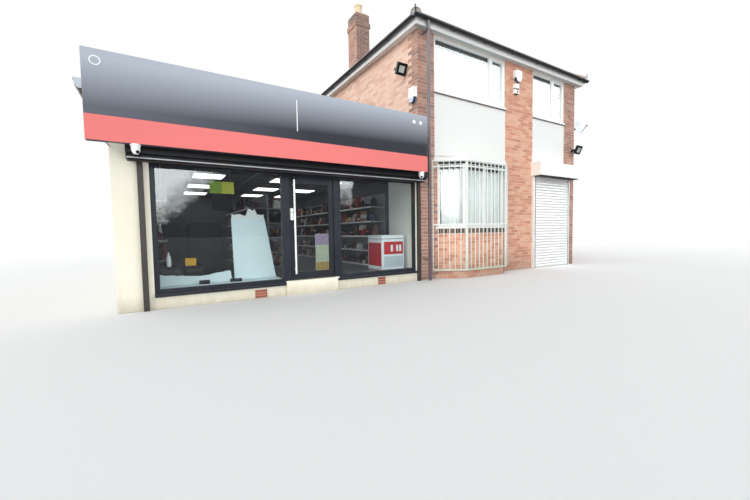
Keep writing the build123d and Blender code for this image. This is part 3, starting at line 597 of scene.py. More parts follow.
# Lit and shaded copies of one soffit finish: the front and rear boards are painted grey as shade,
# and the side boards near white as light.
SHADED_SOFFIT_GREY = Finish(
    "soffit_boards", rgb(186, 190, 190), 0.6, patch=rgb(166, 170, 168), patch_scale=3,
    grain_scale=30, grain_amount=0.15, bump=0.0005)
LIT_SOFFIT_WHITE = Finish(
    "side_soffit_boards", rgb(252, 248, 246), 0.6, patch=rgb(240, 228, 222), patch_scale=3,
    grain_scale=30, grain_amount=0.12, bump=0.0005)
WHITE_FRAME = Finish(
    "white_frame", rgb(242, 243, 243), 0.28, patch=rgb(230, 231, 229), grain_scale=25,
    grain_amount=0.05, bump=0.0002, streaks=0.1, dirt=rgb(170, 166, 156), specular=0.3)
WHITE_METAL = Finish(
    "white_metal", rgb(242, 243, 242), 0.38, patch=rgb(226, 229, 224), patch_scale=3,
    grain_scale=45, grain_amount=0.06, bump=0.0003, streaks=0.2, dirt=rgb(166, 158, 138),
    specular=0.3)
GRILLE_PAINT = Finish(
    "grille_paint", rgb(240, 244, 240), 0.4, patch=rgb(222, 230, 220), patch_scale=4,
    grain_scale=60, grain_amount=0.1, bump=0.0004, splash=0.6, splash_height=0.6,
    dirt=rgb(150, 176, 140))
# Painted light: the blind slats glow a little, though they are no lamp, to look brighter behind the
# glass.
GLOWING_BLIND_WHITE = Finish(
    "blind_slats", rgb(252, 252, 252), 0.55, patch=rgb(240, 242, 244), grain_scale=200,
    grain_amount=0.04, bump=0.0002, glow=0.25)
# Painted shade: the blinds' head rails are dark to stand for the shade at the head of each window.
SHADED_BLIND_RAIL = Finish("blind_rail", rgb(58, 58, 62), 0.5, grain_scale=40, grain_amount=0.1)
# Painted shade for undersides: the dark strips under the upper sills and the downward faces of the
# shop's roof edge.
UNDERSIDE_SHADE = Finish("flashing", rgb(112, 100, 96), 0.6, grain_scale=50, grain_amount=0.2)
# Painted shadow: dark strips set where there is only shade, at the bay's window head, under the
# shutter box and beside the curtain's ends.
SHADOW_STRIP = Finish("rubber_seal", rgb(52, 52, 56), 0.6, grain_scale=50, grain_amount=0.1)
ANTHRACITE = Finish(
    "anthracite_paint", rgb(40, 43, 50), 0.35, patch=rgb(54, 57, 64), patch_scale=2, grain_scale=60,
    grain_amount=0.1, bump=0.0003, specular=0.25)
# Black paint; on the air bricks it also fills their holes as painted shade.
BLACK_PAINT_AND_HOLE_SHADE = Finish(
    "black_paint", rgb(24, 24, 27), 0.42, patch=rgb(40, 39, 41), patch_scale=2, grain_scale=70,
    grain_amount=0.12, bump=0.0004, specular=0.2)
GUIDE_PAINT = Finish(
    "guide_paint", rgb(62, 56, 55), 0.45, patch=rgb(80, 74, 70), grain_scale=70, specular=0.3)
BLACK_PLASTIC = Finish(
    "black_plastic", rgb(46, 47, 53), 0.3, patch=rgb(64, 65, 71), patch_scale=3, grain_scale=50,
    grain_amount=0.1, bump=0.0003, specular=0.4)
PIPE_PLASTIC = Finish(
    "pipe_plastic", rgb(92, 80, 88), 0.28, patch=rgb(124, 112, 120), patch_scale=2, grain_scale=50,
    grain_amount=0.1, bump=0.0003, specular=0.4)
STEEL = Finish(
    "steel", rgb(176, 178, 180), 0.32, metallic=1.0, grain_scale=90, grain_amount=0.15, bump=0.0002)
GALVANISED = Finish(
    "galvanised", rgb(172, 175, 178), 0.5, metallic=0.6, patch=rgb(140, 144, 148), patch_scale=14)
FELT = Finish(
    "roofing_felt", rgb(92, 92, 92), 0.95, patch=rgb(70, 74, 66), patch_scale=1.4, grain_scale=300,
    grain_amount=0.5, bump=0.0015)
FASCIA_GREY = Finish(
    "pale_fascia", rgb(222, 228, 236), 0.5, grain_scale=30, grain_amount=0.08, streaks=0.2,
    dirt=rgb(130, 132, 132))
# Painted reflection: the sign face lightens upwards and darkens at its foot and to the right, as a
# glossy face reflecting the sky.
SIGN_FACE = ReflectionPaintedFinish(
    "sign_face", rgb(92, 96, 106), 0.35, grain_scale=6, grain_amount=0.04, bump=0.0001,
    upper=rgb(176, 183, 194), right=rgb(40, 41, 50), foot=2.62, top=3.20, specular=0.15)
SIGN_RED = Finish(
    "sign_red", rgb(228, 122, 119), 0.35, grain_scale=6, grain_amount=0.03, bump=0.0001)
SIGN_WHITE = Finish(
    "sign_white", rgb(246, 247, 250), 0.3, grain_scale=30, grain_amount=0.04, bump=0.0001)
PLASTER = Finish("plaster", rgb(225, 230, 232), 0.8, grain_scale=80, grain_amount=0.08, bump=0.0005)
# Painted shade: a darker copy of the room's wall for the walls further from the windows.
SHADED_ROOM_WALL = Finish(
    "room_wall", rgb(112, 114, 120), 0.8, patch=rgb(84, 86, 92), patch_scale=1.5, grain_scale=80,
    grain_amount=0.15, bump=0.0005)
CEILING = TiledFinish(
    "ceiling_tile", rgb(132, 134, 140), 0.85, grain_scale=220, grain_amount=0.2, bump=0.001,
    tile=(0.6, 0.6), joint=0.024, joint_colour=rgb(206, 208, 212))
SHOP_FLOOR = TiledFinish(
    "floor_tile", rgb(118, 118, 120), 0.3, grain_scale=40, grain_amount=0.2, bump=0.0004,
    tile=(0.45, 0.45), joint=0.006, joint_colour=rgb(70, 70, 72), specular=0.4)
TIMBER = Finish("floor_boards", rgb(150, 118, 84), 0.6, patch=rgb(120, 92, 64), patch_scale=6)
SHELF = Finish(
    "shelf_metal", rgb(150, 152, 156), 0.4, grain_scale=40, grain_amount=0.06, bump=0.0002)
GOODS = Finish(
    "packets", rgb(58, 52, 58), 0.35, grain_scale=30, grain_amount=0.35, bump=0.0008,
    tones=(rgb(128, 104, 96), rgb(34, 34, 40), rgb(196, 190, 186), rgb(84, 58, 60), rgb(62, 74, 96),
    rgb(150, 66, 60), rgb(44, 46, 50), rgb(176, 140, 92), rgb(88, 92, 88), rgb(222, 220, 216),
    rgb(70, 54, 78)))
DARK_WOOD = Finish("dark_cabinet", rgb(34, 34, 38), 0.4, patch=rgb(48, 48, 52), grain_scale=20)
# Dark plastic; on the door lock it also makes the key slot, as painted shade.
DARK_PLASTIC_AND_SLOT_SHADE = Finish(
    "dark_plastic", rgb(40, 40, 46), 0.4, patch=rgb(60, 60, 66), patch_scale=5, grain_scale=40)
PALE_BOARD = Finish(
    "pale_board", rgb(230, 246, 250), 0.5, patch=rgb(220, 236, 244), patch_scale=2, grain_scale=20,
    grain_amount=0.04)
FOAM = Finish("foam_sheet", rgb(240, 243, 244), 0.7, grain_scale=60, grain_amount=0.2, bump=0.002)
FREEZER_WHITE = Finish(
    "freezer_white", rgb(240, 244, 248), 0.3, grain_scale=30, grain_amount=0.05, bump=0.0002)
FREEZER_GREY = Finish(
    "freezer_grey", rgb(196, 206, 214), 0.3, grain_scale=30, grain_amount=0.05, bump=0.0002)
FREEZER_RED = Finish(
    "freezer_red", rgb(206, 52, 62), 0.3, grain_scale=14, grain_amount=0.25, bump=0.0002)
TERRACOTTA = Finish(
    "terracotta", rgb(204, 134, 114), 0.85, grain_scale=120, grain_amount=0.4, bump=0.002)
LIME_CARD = Finish("lime_card", rgb(236, 240, 104), 0.5, grain_scale=30, grain_amount=0.1)
GREEN_CARD = Finish("green_card", rgb(168, 204, 84), 0.5, patch=rgb(176, 206, 96), patch_scale=12)
YELLOW_BOX = Finish("yellow_box", rgb(226, 176, 60), 0.5, grain_scale=30, grain_amount=0.15)
POSTER_TOP = Finish("poster_top", rgb(196, 176, 206), 0.5, patch=rgb(160, 130, 170), patch_scale=14)
POSTER_MIDDLE = Finish(
    "poster_middle", rgb(222, 230, 206), 0.5, patch=rgb(176, 196, 150), patch_scale=16)
POSTER_FOOT = Finish(
    "poster_foot", rgb(206, 178, 106), 0.5, patch=rgb(164, 126, 72), patch_scale=18)
LENS_BLACK = Finish("camera_lens", rgb(14, 14, 16), 0.08, grain_amount=0.0, specular=0.6)
LENS_PALE = Finish(
    "lamp_lens", rgb(208, 216, 214), 0.15, patch=rgb(150, 158, 158), patch_scale=9, specular=0.5)
LENS_BLUE = Finish("alarm_lens", rgb(174, 190, 216), 0.2, grain_amount=0.05, specular=0.5)
ALARM_DARK = Finish("alarm_dark", rgb(66, 70, 84), 0.4, grain_amount=0.1)
CLEAR_GLASS = GlassFinish("clear_glass", rgb(246, 250, 250))
HOUSE_GLASS = GlassFinish("house_glass", rgb(246, 250, 250), index=1.9)
LIGHT_PANEL = LampFinish("light_panel", (1.0, 0.99, 0.97, 1.0), 2.6)


# Making meshes


def put(name: str, data: bpy.types.ID) -> bpy.types.Object:
    """Make an object of a mesh, a lamp or a camera and link it to the scene.

    Args:
        name: the object's name.
        data: what it shows.

    Returns:
        The new object.
    """
    piece = bpy.data.objects.new(name, data)
    bpy.context.scene.collection.objects.link(piece)
    return piece


def corners(node: str) -> list[Vector]:
    """Give the corners of a CAD node's mesh."""
    return [vertex.co for vertex in frame["nodes"][node].data.vertices]


def curve(radius: float, sides: int, sweep: float = FULL_TURN) -> list[Plan]:
    """Give the corners of a circle, or of an arc with both its ends.

    Args:
        radius: its radius in metres.
        sides: the number of its straight sides.
        sweep: the angle that it takes up.

    Returns:
        The corners in plan.
    """
    count = sides if sweep == FULL_TURN else sides + 1
    angles = [sweep * k / sides for k in range(count)]
    return [(radius * math.cos(angle), radius * math.sin(angle)) for angle in angles]


def upright(axis: Vector) -> Matrix:
    """Give the turn that lays the z axis along a direction."""
    return axis.to_track_quat("Z", "Y").to_matrix().to_4x4()


@dataclass
class Draft:
    """The corners and faces of one mesh, gathered before it is made."""

    BOX_FACES = ((0, 3, 2, 1), (4, 5, 6, 7), (0, 1, 5, 4), (1, 2, 6, 5), (2, 3, 7, 6), (3, 0, 4, 7))

    verts: list[Point] = field(default_factory=list)
    faces: list[tuple[int, ...]] = field(default_factory=list)
    tones: list[float] = field(default_factory=list)
    slots: list[int] = field(default_factory=list)
    smooth: list[bool] = field(default_factory=list)

    def add(self, verts: Sequence[Point], faces: Sequence[Sequence[int]], tone: float = 0.5,
            slot: int = 0, smooth: bool | Sequence[bool] = False,
            place: Matrix | None = None) -> None:
        """Add one closed shape.

        Args:
            verts: its corners.
            faces: corner numbers of each face.
            tone: the shape's own tone from 0 to 1.
            slot: the number of its finish.
            smooth: whether its faces are shaded as one curve, for all of them or for each.
            place: where it goes.
        """
        start = len(self.verts)
        self.verts += [tuple(place @ Vector(v)) if place else tuple(v) for v in verts]
        self.tones += [tone] * len(verts)
        self.faces += [tuple(start + index for index in face) for face in faces]
        self.slots += [slot] * len(faces)
        self.smooth += [smooth] * len(faces) if isinstance(smooth, bool) else smooth

    def box(self, low: Sequence[float], high: Sequence[float], tone: float = 0.5, slot: int = 0,
            place: Matrix | None = None) -> None:
        """Add a square-edged block between two corners.

        Args:
            low: the lower corner.
            high: the upper corner.
            tone: the block's own tone from 0 to 1.
            slot: the number of its finish.
            place: where it goes.
        """
        (x0, y0, z0), (x1, y1, z1) = low, high
        ring = [(x0, y0), (x1, y0), (x1, y1), (x0, y1)]
        verts = [(x, y, z) for z in (z0, z1) for x, y in ring]
        self.add(verts, self.BOX_FACES, tone, slot, place=place)

    def loft(self, rings: Sequence[Sequence[Point]], tone: float = 0.5, slot: int = 0,
             smooth: bool = True, place: Matrix | None = None) -> None:
        """Add a shape that runs through closed rings, capped at both ends.

        Args:
            rings: its outlines from end to end, with as many corners each.
            tone: the shape's own tone from 0 to 1.
            slot: the number of its finish.
            smooth: whether its sides are shaded as one curve.
            place: where it goes.
        """
        count = len(rings[0])
        faces = []
        for low in range(0, (len(rings) - 1) * count, count):
            for index in range(count):
                after = low + (index + 1) % count
                faces.append((low + index, after, after + count, low + index + count))
        last = (len(rings) - 1) * count
        faces += [tuple(reversed(range(count))), tuple(range(last, last + count))]
        shading = [smooth] * (len(faces) - 2) + [False, False]
        self.add([corner for ring in rings for corner in ring], faces, tone, slot, shading, place)

    def tube(self, start: Sequence[float], end: Sequence[float], radius: float, sides: int = 12,
             tone: float = 0.5, slot: int = 0, end_radius: float | None = None) -> None:
        """Add a round bar between two points.

        Args:
            start: the centre of one end.
            end: the centre of the other end.
            radius: its radius in metres.
            sides: the number of its sides.
            tone: the bar's own tone from 0 to 1.
            slot: the number of its finish.
            end_radius: the radius at its end, where it tapers.
        """
        axis = Vector(end) - Vector(start)
        rings = [[(x, y, height) for x, y in curve(size, sides)]
                 for height, size in ((0.0, radius), (axis.length, end_radius or radius))]
        self.loft(rings, tone, slot, place=Matrix.Translation(start) @ upright(axis))

    def make(self, name: str, finishes: Sequence[Surface], body: str = BUILDING,
             slot: str | None = None, bevel: float = 0.0) -> bpy.types.Object:
        """Make the mesh and let it ride on a body.

        Args:
            name: the piece's name.
            finishes: the finishes in the order of their numbers.
            body: the body that it moves with.
            slot: the record's material slot, which is not used.
            bevel: the width of its rounded edges in metres.

        Returns:
            The new object.
        """
        mesh = bpy.data.meshes.new(name)
        mesh.from_pydata(self.verts, [], self.faces)
        mesh.attributes.new("tone", "FLOAT", "POINT").data.foreach_set("value", self.tones)
        mesh.polygons.foreach_set("material_index", self.slots)
        mesh.polygons.foreach_set("use_smooth", self.smooth)
        mesh.update()
        piece = put(name, mesh)
        for finish in finishes:
            mesh.materials.append(finish.material())
        if bevel:
            round_edges(piece, bevel)
        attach(piece, body)
        return piece


def round_edges(piece: bpy.types.Object, width: float) -> None:
    """Round the sharp edges of a piece.

    Args:
        piece: the object.
        width: the width of the rounding in metres.
    """
    modifier = piece.modifiers.new("edges", "BEVEL")
    modifier.width = width
    modifier.segments = 2
    modifier.limit_method = "ANGLE"
    modifier.angle_limit = math.radians(35)


def dress(finish: Surface, *nodes: str, bevel: float = 0.0) -> None:
    """Give CAD nodes a finish.

    Args:
        finish: the finish.
        nodes: the nodes' names.
        bevel: the width of rounded edges in metres, or 0 for none.
    """
    for node in nodes:
        piece = frame["nodes"][node]
        piece.data.materials.clear()
        piece.data.materials.append(finish.material())
        if bevel:
            piece.modifiers.new("join", "WELD").merge_threshold = 1e-5
            round_edges(piece, bevel)


def paint(node: str, finish: Surface, chosen: Callable[[Vector, Vector], bool]) -> None:
    """Give some faces of a dressed CAD node a second finish.

    Args:
        node: the node's name.
        finish: the second finish.
        chosen: says of a face's centre and normal whether it takes that finish.
    """
    mesh = frame["nodes"][node].data
    mesh.materials.append(finish.material())
    for face in mesh.polygons:
        if chosen(face.center, face.normal):
            face.material_index = len(mesh.materials) - 1


def faces_down(centre: Vector, normal: Vector) -> bool:
    """Say whether a face looks downwards."""
    return normal.z < -0.3


def front_openings() -> list[Plan]:
    """Find the house front's two openings, which the panels fill.

    Returns:
        The left and right edge of each.
    """
    low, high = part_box("spandrel_panels")
    middle = (low.x + high.x) / 2
    across = [corner.x for corner in corners("spandrel_panels")]
    return [(low.x, max(x for x in across if x < middle)),
            (min(x for x in across if x > middle), high.x)]


def party_wall() -> float:
    """Give the place across the front of the outer face of the wall between house and shop."""
    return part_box("house_front_wall")[0].x


# Sub-assemblies


@dataclass(frozen=True)
class Face:
    """A flat stretch of wall.

    Its voids are openings, each with its near and far place along and its foot and top. Bricks
    whose middle lies in one of the darkened stretches take the finish that darker_finish numbers;
    on the house's front corners that darker brick is painted shade.
    """

    start: Point
    along: Point
    out: Point
    length: float
    low: float
    high: float
    voids: tuple[tuple[float, float, float, float], ...] = ()
    odd_start: bool = False
    darkened_stretches: tuple[Plan, ...] = ()
    darker_finish: int = 1

    def place(self) -> Matrix:
        """Give the turn and shift from the face's own axes to the world's."""
        axes = Matrix((self.along, self.out, (0, 0, 1))).transposed().to_4x4()
        return Matrix.Translation(self.start) @ axes


@dataclass
class Brickwork:
    """Facing bricks in stretcher bond, proud of the mortar by a few millimetres."""

    brick_length: float = 0.215
    brick_height: float = 0.065
    brick_width: float = 0.1025
    joint: float = 0.010
    proud: float = 0.004
    uneven: float = 0.0008
    bed: float = 0.004
    smallest_cut: float = 0.02
    edge_course: float = 0.1125
    above_soffit: float = 0.02
    darkened_corner: float = 0.22
    chimney_foot: float = 5.6
    band_above_foot: float = 1.0
    rear_middle: float = 2.6
    rear_storey: float = 3.0
    seed: int = 11

    def build(self) -> None:
        """Dress the mortar and lay each wall."""
        dress(MORTAR, "house_front_wall", "house_left_wall", "house_right_wall", "house_rear_wall",
              "bay_dwarf_wall", "chimney_stack")
        self.chance = random.Random(self.seed)
        low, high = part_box("house_front_wall")
        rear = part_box("house_rear_wall")[1].y
        roof_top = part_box("shop_roof")[1].z
        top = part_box("eaves_boards")[0].z + self.above_soffit
        width, depth = high.x - low.x, rear - low.y
        (pier_end, _), (_, pier_start) = front_openings()
        # The front corner piers and the left wall's strip by the front corner take the duller
        # brick, as painted shade.
        piers = ((0.0, pier_end - low.x), (pier_start - low.x, width))
        near_corner = ((depth - self.darkened_corner, depth),)
        self.lay("bricks_front", [Face((low.x, low.y, 0), (1, 0, 0), (0, -1, 0), width, 0, top,
                                       self.front_voids(low), darkened_stretches=piers)])
        # The left wall is laid in the paler brick, as painted light.
        self.lay("bricks_left", [Face((low.x, rear, 0), (0, -1, 0), (-1, 0, 0), depth, roof_top,
                                      top, odd_start=True, darkened_stretches=near_corner)], LIT_PALE_BRICK)
        self.lay("bricks_right", [Face((high.x, low.y, 0), (0, 1, 0), (1, 0, 0), depth, 0, top,
                                       odd_start=True)])
        self.lay("bricks_rear", [Face((high.x, rear, 0), (-1, 0, 0), (0, 1, 0), width, 0, top,
                                      self.rear_voids(high.x))])
        bay = self.bay_faces()
        self.lay("bricks_bay", bay)
        # The bay wall's top course of dark bricks on edge is partly painted shade under the sill.
        edging = Draft()
        for face in bay:
            self.lay_on_edge(edging, face)
        edging.make("bricks_bay_edge", [EDGE_BRICK_AND_SHADE], slot="brick")
        self.lay("bricks_chimney", self.chimney_faces())

    def front_voids(self, low: Vector) -> tuple:
        """Find the openings of the front wall.

        Args:
            low: the wall's lower left corner, from which they are measured.

        Returns:
            The openings as a face takes them.
        """
        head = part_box("house_window_frames")[1].z
        bay_low, bay_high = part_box("bay_dwarf_wall")
        roof_low, roof_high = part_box("bay_flat_roof")
        voids = [(left - low.x, right - low.x, foot, head)
                 for (left, right), foot in zip(front_openings(), (roof_low.z, 0.0))]
        return (*voids, (bay_low.x - low.x, bay_high.x - low.x, 0.0, roof_high.z))

    def rear_voids(self, corner: float) -> tuple:
        """Find the openings of the rear wall: its windows and its door.

        Args:
            corner: the wall's end from which they are measured.

        Returns:
            The openings as a face takes them.
        """
        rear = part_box("house_rear_wall")[0].y
        groups: dict[tuple[bool, bool], list[Vector]] = {}
        for point in corners("house_window_frames"):
            if point.y > rear:
                which = (point.x > self.rear_middle, point.z > self.rear_storey)
                groups.setdefault(which, []).append(point)
        spans = [[(min(places), max(places)) for places in list(zip(*group))[::2]]
                 for group in groups.values()]
        low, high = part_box("rear_door")
        spans.append([(low.x, high.x), (low.z, high.z)])
        return tuple((corner - right, corner - left, *levels) for (left, right), levels in spans)

    def bay_faces(self) -> list[Face]:
        """Find the faces of the canted bay's low wall.

        Returns:
            The three faces from left to right.
        """
        low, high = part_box("bay_dwarf_wall")
        sill = {(round(v.x, 4), round(v.y, 4)) for v in corners("bay_dwarf_wall") if v.z > 1.0}
        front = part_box("house_front_wall")[0].y
        ends, face = (sorted(x for x, y in sill if abs(y - line) < 2 * TOUCH)
                      for line in (front, low.y))
        points = [(ends[0], front), (face[0], low.y), (face[-1], low.y), (ends[-1], front)]
        faces = []
        for index, (start, end) in enumerate(zip(points, points[1:])):
            along = Vector((end[0] - start[0], end[1] - start[1], 0))
            unit = along.normalized()
            faces.append(Face((*start, 0), tuple(unit), (unit.y, -unit.x, 0), along.length, 0,
                              high.z - self.edge_course, odd_start=index == 1))
        return faces

    def chimney_faces(self) -> list[Face]:
        """Find the sides of the chimney's shaft, of its band and of the courses above the band.

        Returns:
            The faces from the foot up.
        """
        verts = corners("chimney_stack")
        low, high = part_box("chimney_stack")
        band = [v.z for v in verts if abs(v.x - low.x) < TOUCH]
        shaft = [v for v in verts if v.z < min(band) - self.band_above_foot]
        inner = [Vector((pick(v.x for v in shaft), pick(v.y for v in shaft), 0))
                 for pick in (min, max)]
        shoulder = max(v.z for v in verts if abs(v.x - inner[0].x) < TOUCH)
        stages = ((*inner, self.chimney_foot, min(band)), (low, high, min(band), max(band)),
                  (*inner, max(band), shoulder))
        faces = []
        for near, far, foot, top in stages:
            width, depth = far.x - near.x, far.y - near.y
            sides = (((near.x, near.y, 0), (1, 0, 0), (0, -1, 0), width),
                     ((far.x, near.y, 0), (0, 1, 0), (1, 0, 0), depth),
                     ((far.x, far.y, 0), (-1, 0, 0), (0, 1, 0), width),
                     ((near.x, far.y, 0), (0, -1, 0), (-1, 0, 0), depth))
            for index, side in enumerate(sides):
                # The front and right faces take the darkest brick as painted shade, and so does
                # every face above the band.
                soot_and_shade = index < 2 or foot >= max(band)
                faces.append(Face(*side, foot, top, odd_start=index % 2 == 1,
                                  darkened_stretches=((0.0, max(width, depth)),), darker_finish=2 if soot_and_shade else 1))
        return faces

    def lay_on_edge(self, draft: Draft, face: Face) -> None:
        """Stand a course of dark bricks on edge along the top of a face; their darkness is partly a
        real dark course and partly painted shade under the sill.

        Args:
            draft: the mesh that takes them.
            face: the face.
        """
        at = 0.0
        foot, top = face.high + self.joint, face.high + self.edge_course
        while at < face.length:
            end = min(at + self.brick_height, face.length)
            if end - at > self.smallest_cut:
                draft.box((at, -self.bed, foot), (end, self.proud, top), self.chance.random(),
                          place=face.place())
            at += self.brick_height + self.joint

    def lay(self, name: str, faces: Sequence[Face], brick: Finish | None = None) -> None:
        """Lay the bricks of some wall faces as one mesh.

        Args:
            name: the piece's name.
            faces: the faces.
            brick: the finish of its sound bricks, where they aren't the usual ones, such as the
                paler copy that paints light on the left wall.
        """
        draft = Draft()
        for face in faces:
            self.lay_face(draft, face)
        draft.make(name, [brick or BRICK, WEATHERED_AND_SHADED_BRICK, SOOTY_AND_SHADED_BRICK], slot="brick")

    def lay_face(self, draft: Draft, face: Face) -> None:
        """Lay the courses of one wall face.

        Args:
            draft: the mesh that takes them.
            face: the face.
        """
        course = self.brick_height + self.joint
        step = self.brick_length + self.joint
        row = math.floor(face.low / course)
        place = face.place()
        while row * course + self.joint < face.high:
            foot = max(row * course + self.joint, face.low)
            top = min((row + 1) * course, face.high)
            odd = (row % 2 == 1) != face.odd_start
            start = -self.joint / 2 - (self.brick_width + self.joint if odd else 0.0)
            while start < face.length and top - foot > self.smallest_cut:
                low = max(start + self.joint / 2, 0.0)
                high = min(start + step - self.joint / 2, face.length)
                tone = self.chance.random()
                depth = self.proud + self.chance.uniform(-self.uneven, self.uneven)
                for cut in self.cut_round((low, high, foot, top), face.voids):
                    middle = (cut[0] + cut[1]) / 2
                    darker_finish = any(near < middle < far for near, far in face.darkened_stretches)
                    draft.box((cut[0], -self.bed, cut[2]), (cut[1], depth, cut[3]), tone,
                              face.darker_finish if darker_finish else 0, place)
                start += step
            row += 1

    def cut_round(self, piece: tuple, voids: Sequence[tuple]) -> list[tuple]:
        """Cut a brick's outline where it meets an opening.

        Args:
            piece: low and high place along, low and high level.
            voids: the openings in the same order of values.

        Returns:
            What is left of the brick.
        """
        left = [piece]
        for near, far, under, over in voids:
            kept = []
            for low, high, foot, top in left:
                if high <= near or low >= far or top <= under or foot >= over:
                    kept.append((low, high, foot, top))
                    continue
                if low < near:
                    kept.append((low, near, foot, top))
                if high > far:
                    kept.append((far, high, foot, top))
            left = kept
        return [cut for cut in left if cut[1] - cut[0] > self.smallest_cut]


@dataclass
class HouseRoof:
    """Interlocking tiles on the four slopes, and half-round tiles on the hips and ridge."""

    gauge: float = 0.32
    head_lap: float = 0.05
    tile_width: float = 0.30
    side_gap: float = 0.004
    tail: float = 0.030
    head: float = 0.006
    thickness: float = 0.014
    smallest_cut: float = 0.02
    point_width: float = 0.002
    cap_length: float = 0.45
    cap_lap: float = 0.03
    cap_radius: float = 0.110
    cap_taper: float = 0.012
    cap_wall: float = 0.020
    cap_drop: float = 0.020
    cap_start: float = 0.020
    cap_sides: int = 12
    bed_share: float = 0.88
    bed_lift: float = 0.004
    iron_width: float = 0.025
    iron_thick: float = 0.003
    iron_path: tuple[Plan, ...] = ((-0.10, 0.0), (0.0, 0.0), (0.03, 0.008), (0.042, 0.03),
                                   (0.042, 0.14), (0.03, 0.162), (0.008, 0.17))
    seed: int = 5

    def build(self) -> None:
        """Dress the slopes and lay every tile."""
        dress(CEMENT, "house_roof")
        self.chance = random.Random(self.seed)
        low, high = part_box("house_roof")
        self.foot = low.z
        run = (high.x - low.x) / 2
        self.pitch = math.atan2(high.z - low.z, run)
        eaves = [(low.x, low.y), (high.x, low.y), (high.x, high.y), (low.x, high.y)]
        for index, name in enumerate(("front", "right", "rear", "left")):
            draft = Draft()
            self.lay_slope(draft, eaves[index], eaves[(index + 1) % 4], run)
            draft.make(f"roof_tiles_{name}", [TILE], slot="roof_tile")
        caps = Draft()
        ridge = [Vector((low.x + run, y, high.z)) for y in (low.y + run, high.y - run)]
        for corner in eaves:
            peak = ridge[0] if corner[1] == low.y else ridge[1]
            foot = Vector((*corner, low.z))
            self.lay_caps(caps, foot + (peak - foot).normalized() * self.cap_start, peak)
            self.hip_iron(caps, foot, peak)
        self.lay_caps(caps, *ridge)
        piece = caps.make("hip_and_ridge_tiles", [TILE, CEMENT, BLACK_PAINT_AND_HOLE_SHADE], slot="roof_tile")
        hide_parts("ridge_tiles")

    def hip_iron(self, draft: Draft, foot: Vector, peak: Vector) -> None:
        """Bend a flat hip iron up in front of the lowest cap.

        Args:
            draft: the mesh that it joins.
            foot: the hip's foot.
            peak: the hip's upper end.
        """
        outward = Vector((foot.x - peak.x, foot.y - peak.y, 0)).normalized()
        across = Vector((-outward.y, outward.x, 0)) * self.iron_width / 2
        rings = []
        for reach, rise in self.iron_path:
            centre = foot + outward * reach + Vector((0, 0, rise - self.cap_drop))
            thick = (outward if rise else Vector((0, 0, 1))) * self.iron_thick
            rings.append([tuple(centre + across - thick), tuple(centre + across + thick),
                          tuple(centre - across + thick), tuple(centre - across - thick)])
        draft.loft(rings, slot=2, smooth=False)

    def lay_slope(self, draft: Draft, start: Plan, end: Plan, run: float) -> None:
        """Lay the courses of one slope, from its eaves line up.

        Args:
            draft: the mesh that takes them.
            start: one end of the eaves line in plan.
            end: its other end, to the right of it from outside.
            run: how far in the slope goes.
        """
        along = Vector((end[0] - start[0], end[1] - start[1], 0))
        length = along.length
        along.normalize()
        share = math.cos(self.pitch)
        up = Vector((-along.y, along.x, 0)) * share + Vector((0, 0, math.sin(self.pitch)))
        axes = (Vector((*start, self.foot)), along, up, along.cross(up))
        slope = run / share
        for row in range(int(slope / self.gauge) + 1):
            rise = (row * self.gauge, min((row + 1) * self.gauge + self.head_lap, slope))
            column = 0.0 if row % 2 == 0 else -self.tile_width / 2
            while column < length:
                self.lay_tile(draft, axes, (column, column + self.tile_width), rise, length)
                column += self.tile_width

    def lay_tile(self, draft: Draft, axes: tuple, across: Plan, rise: Plan, length: float) -> None:
        """Lay one tile, cut where it meets a hip.

        Args:
            draft: the mesh that takes it.
            axes: the slope's corner, and its directions along, up and out.
            across: the tile's near and far place along the eaves.
            rise: the tile's foot and head up the slope.
            length: the length of the eaves.
        """
        base, along, up, normal = axes
        share = math.cos(self.pitch)
        ends = []
        for level, lift in zip(rise, (self.tail, self.head)):
            low = max(across[0] + self.side_gap / 2, level * share)
            high = min(across[1] - self.side_gap / 2, length - level * share)
            ends.append((level, lift, low, high))
        if ends[0][3] - ends[0][2] < self.smallest_cut:
            return
        verts = []
        for drop in (self.thickness, 0.0):
            for level, lift, low, high in ends:
                high = max(high, low + self.point_width)
                for place in (low, high) if level == rise[0] else (high, low):
                    verts.append(tuple(base + along * place + up * level + normal * (lift - drop)))
        draft.add(verts, Draft.BOX_FACES, self.chance.random())

    def lay_caps(self, draft: Draft, start: Vector, end: Vector) -> None:
        """Lay half-round tiles on a bed of cement.

        Args:
            draft: the mesh that takes them.
            start: the low end of the line, or one end of a level one.
            end: its high end.
        """
        axis = end - start
        count = max(1, round(axis.length / self.cap_length))
        step = axis.length / count
        foot = start - Vector((0, 0, self.cap_drop))
        sizes = ((0.0, self.cap_radius), (step + self.cap_lap, self.cap_radius - self.cap_taper))
        for index in range(count):
            rings, bed = [], []
            for height, radius in sizes:
                arc = curve(radius, self.cap_sides, math.pi)
                inner = curve(radius - self.cap_wall, self.cap_sides, math.pi)[::-1]
                rings.append([(x, y, height) for x, y in arc + inner])
                level = min(height, step) + self.bed_lift
                bed.append([(x * self.bed_share, y * self.bed_share, level) for x, y in arc])
            place = Matrix.Translation(foot + axis.normalized() * (index * step)) @ upright(axis)
            draft.loft(rings, self.chance.random(), smooth=False, place=place)
            draft.loft(bed, slot=1, smooth=False, place=place)


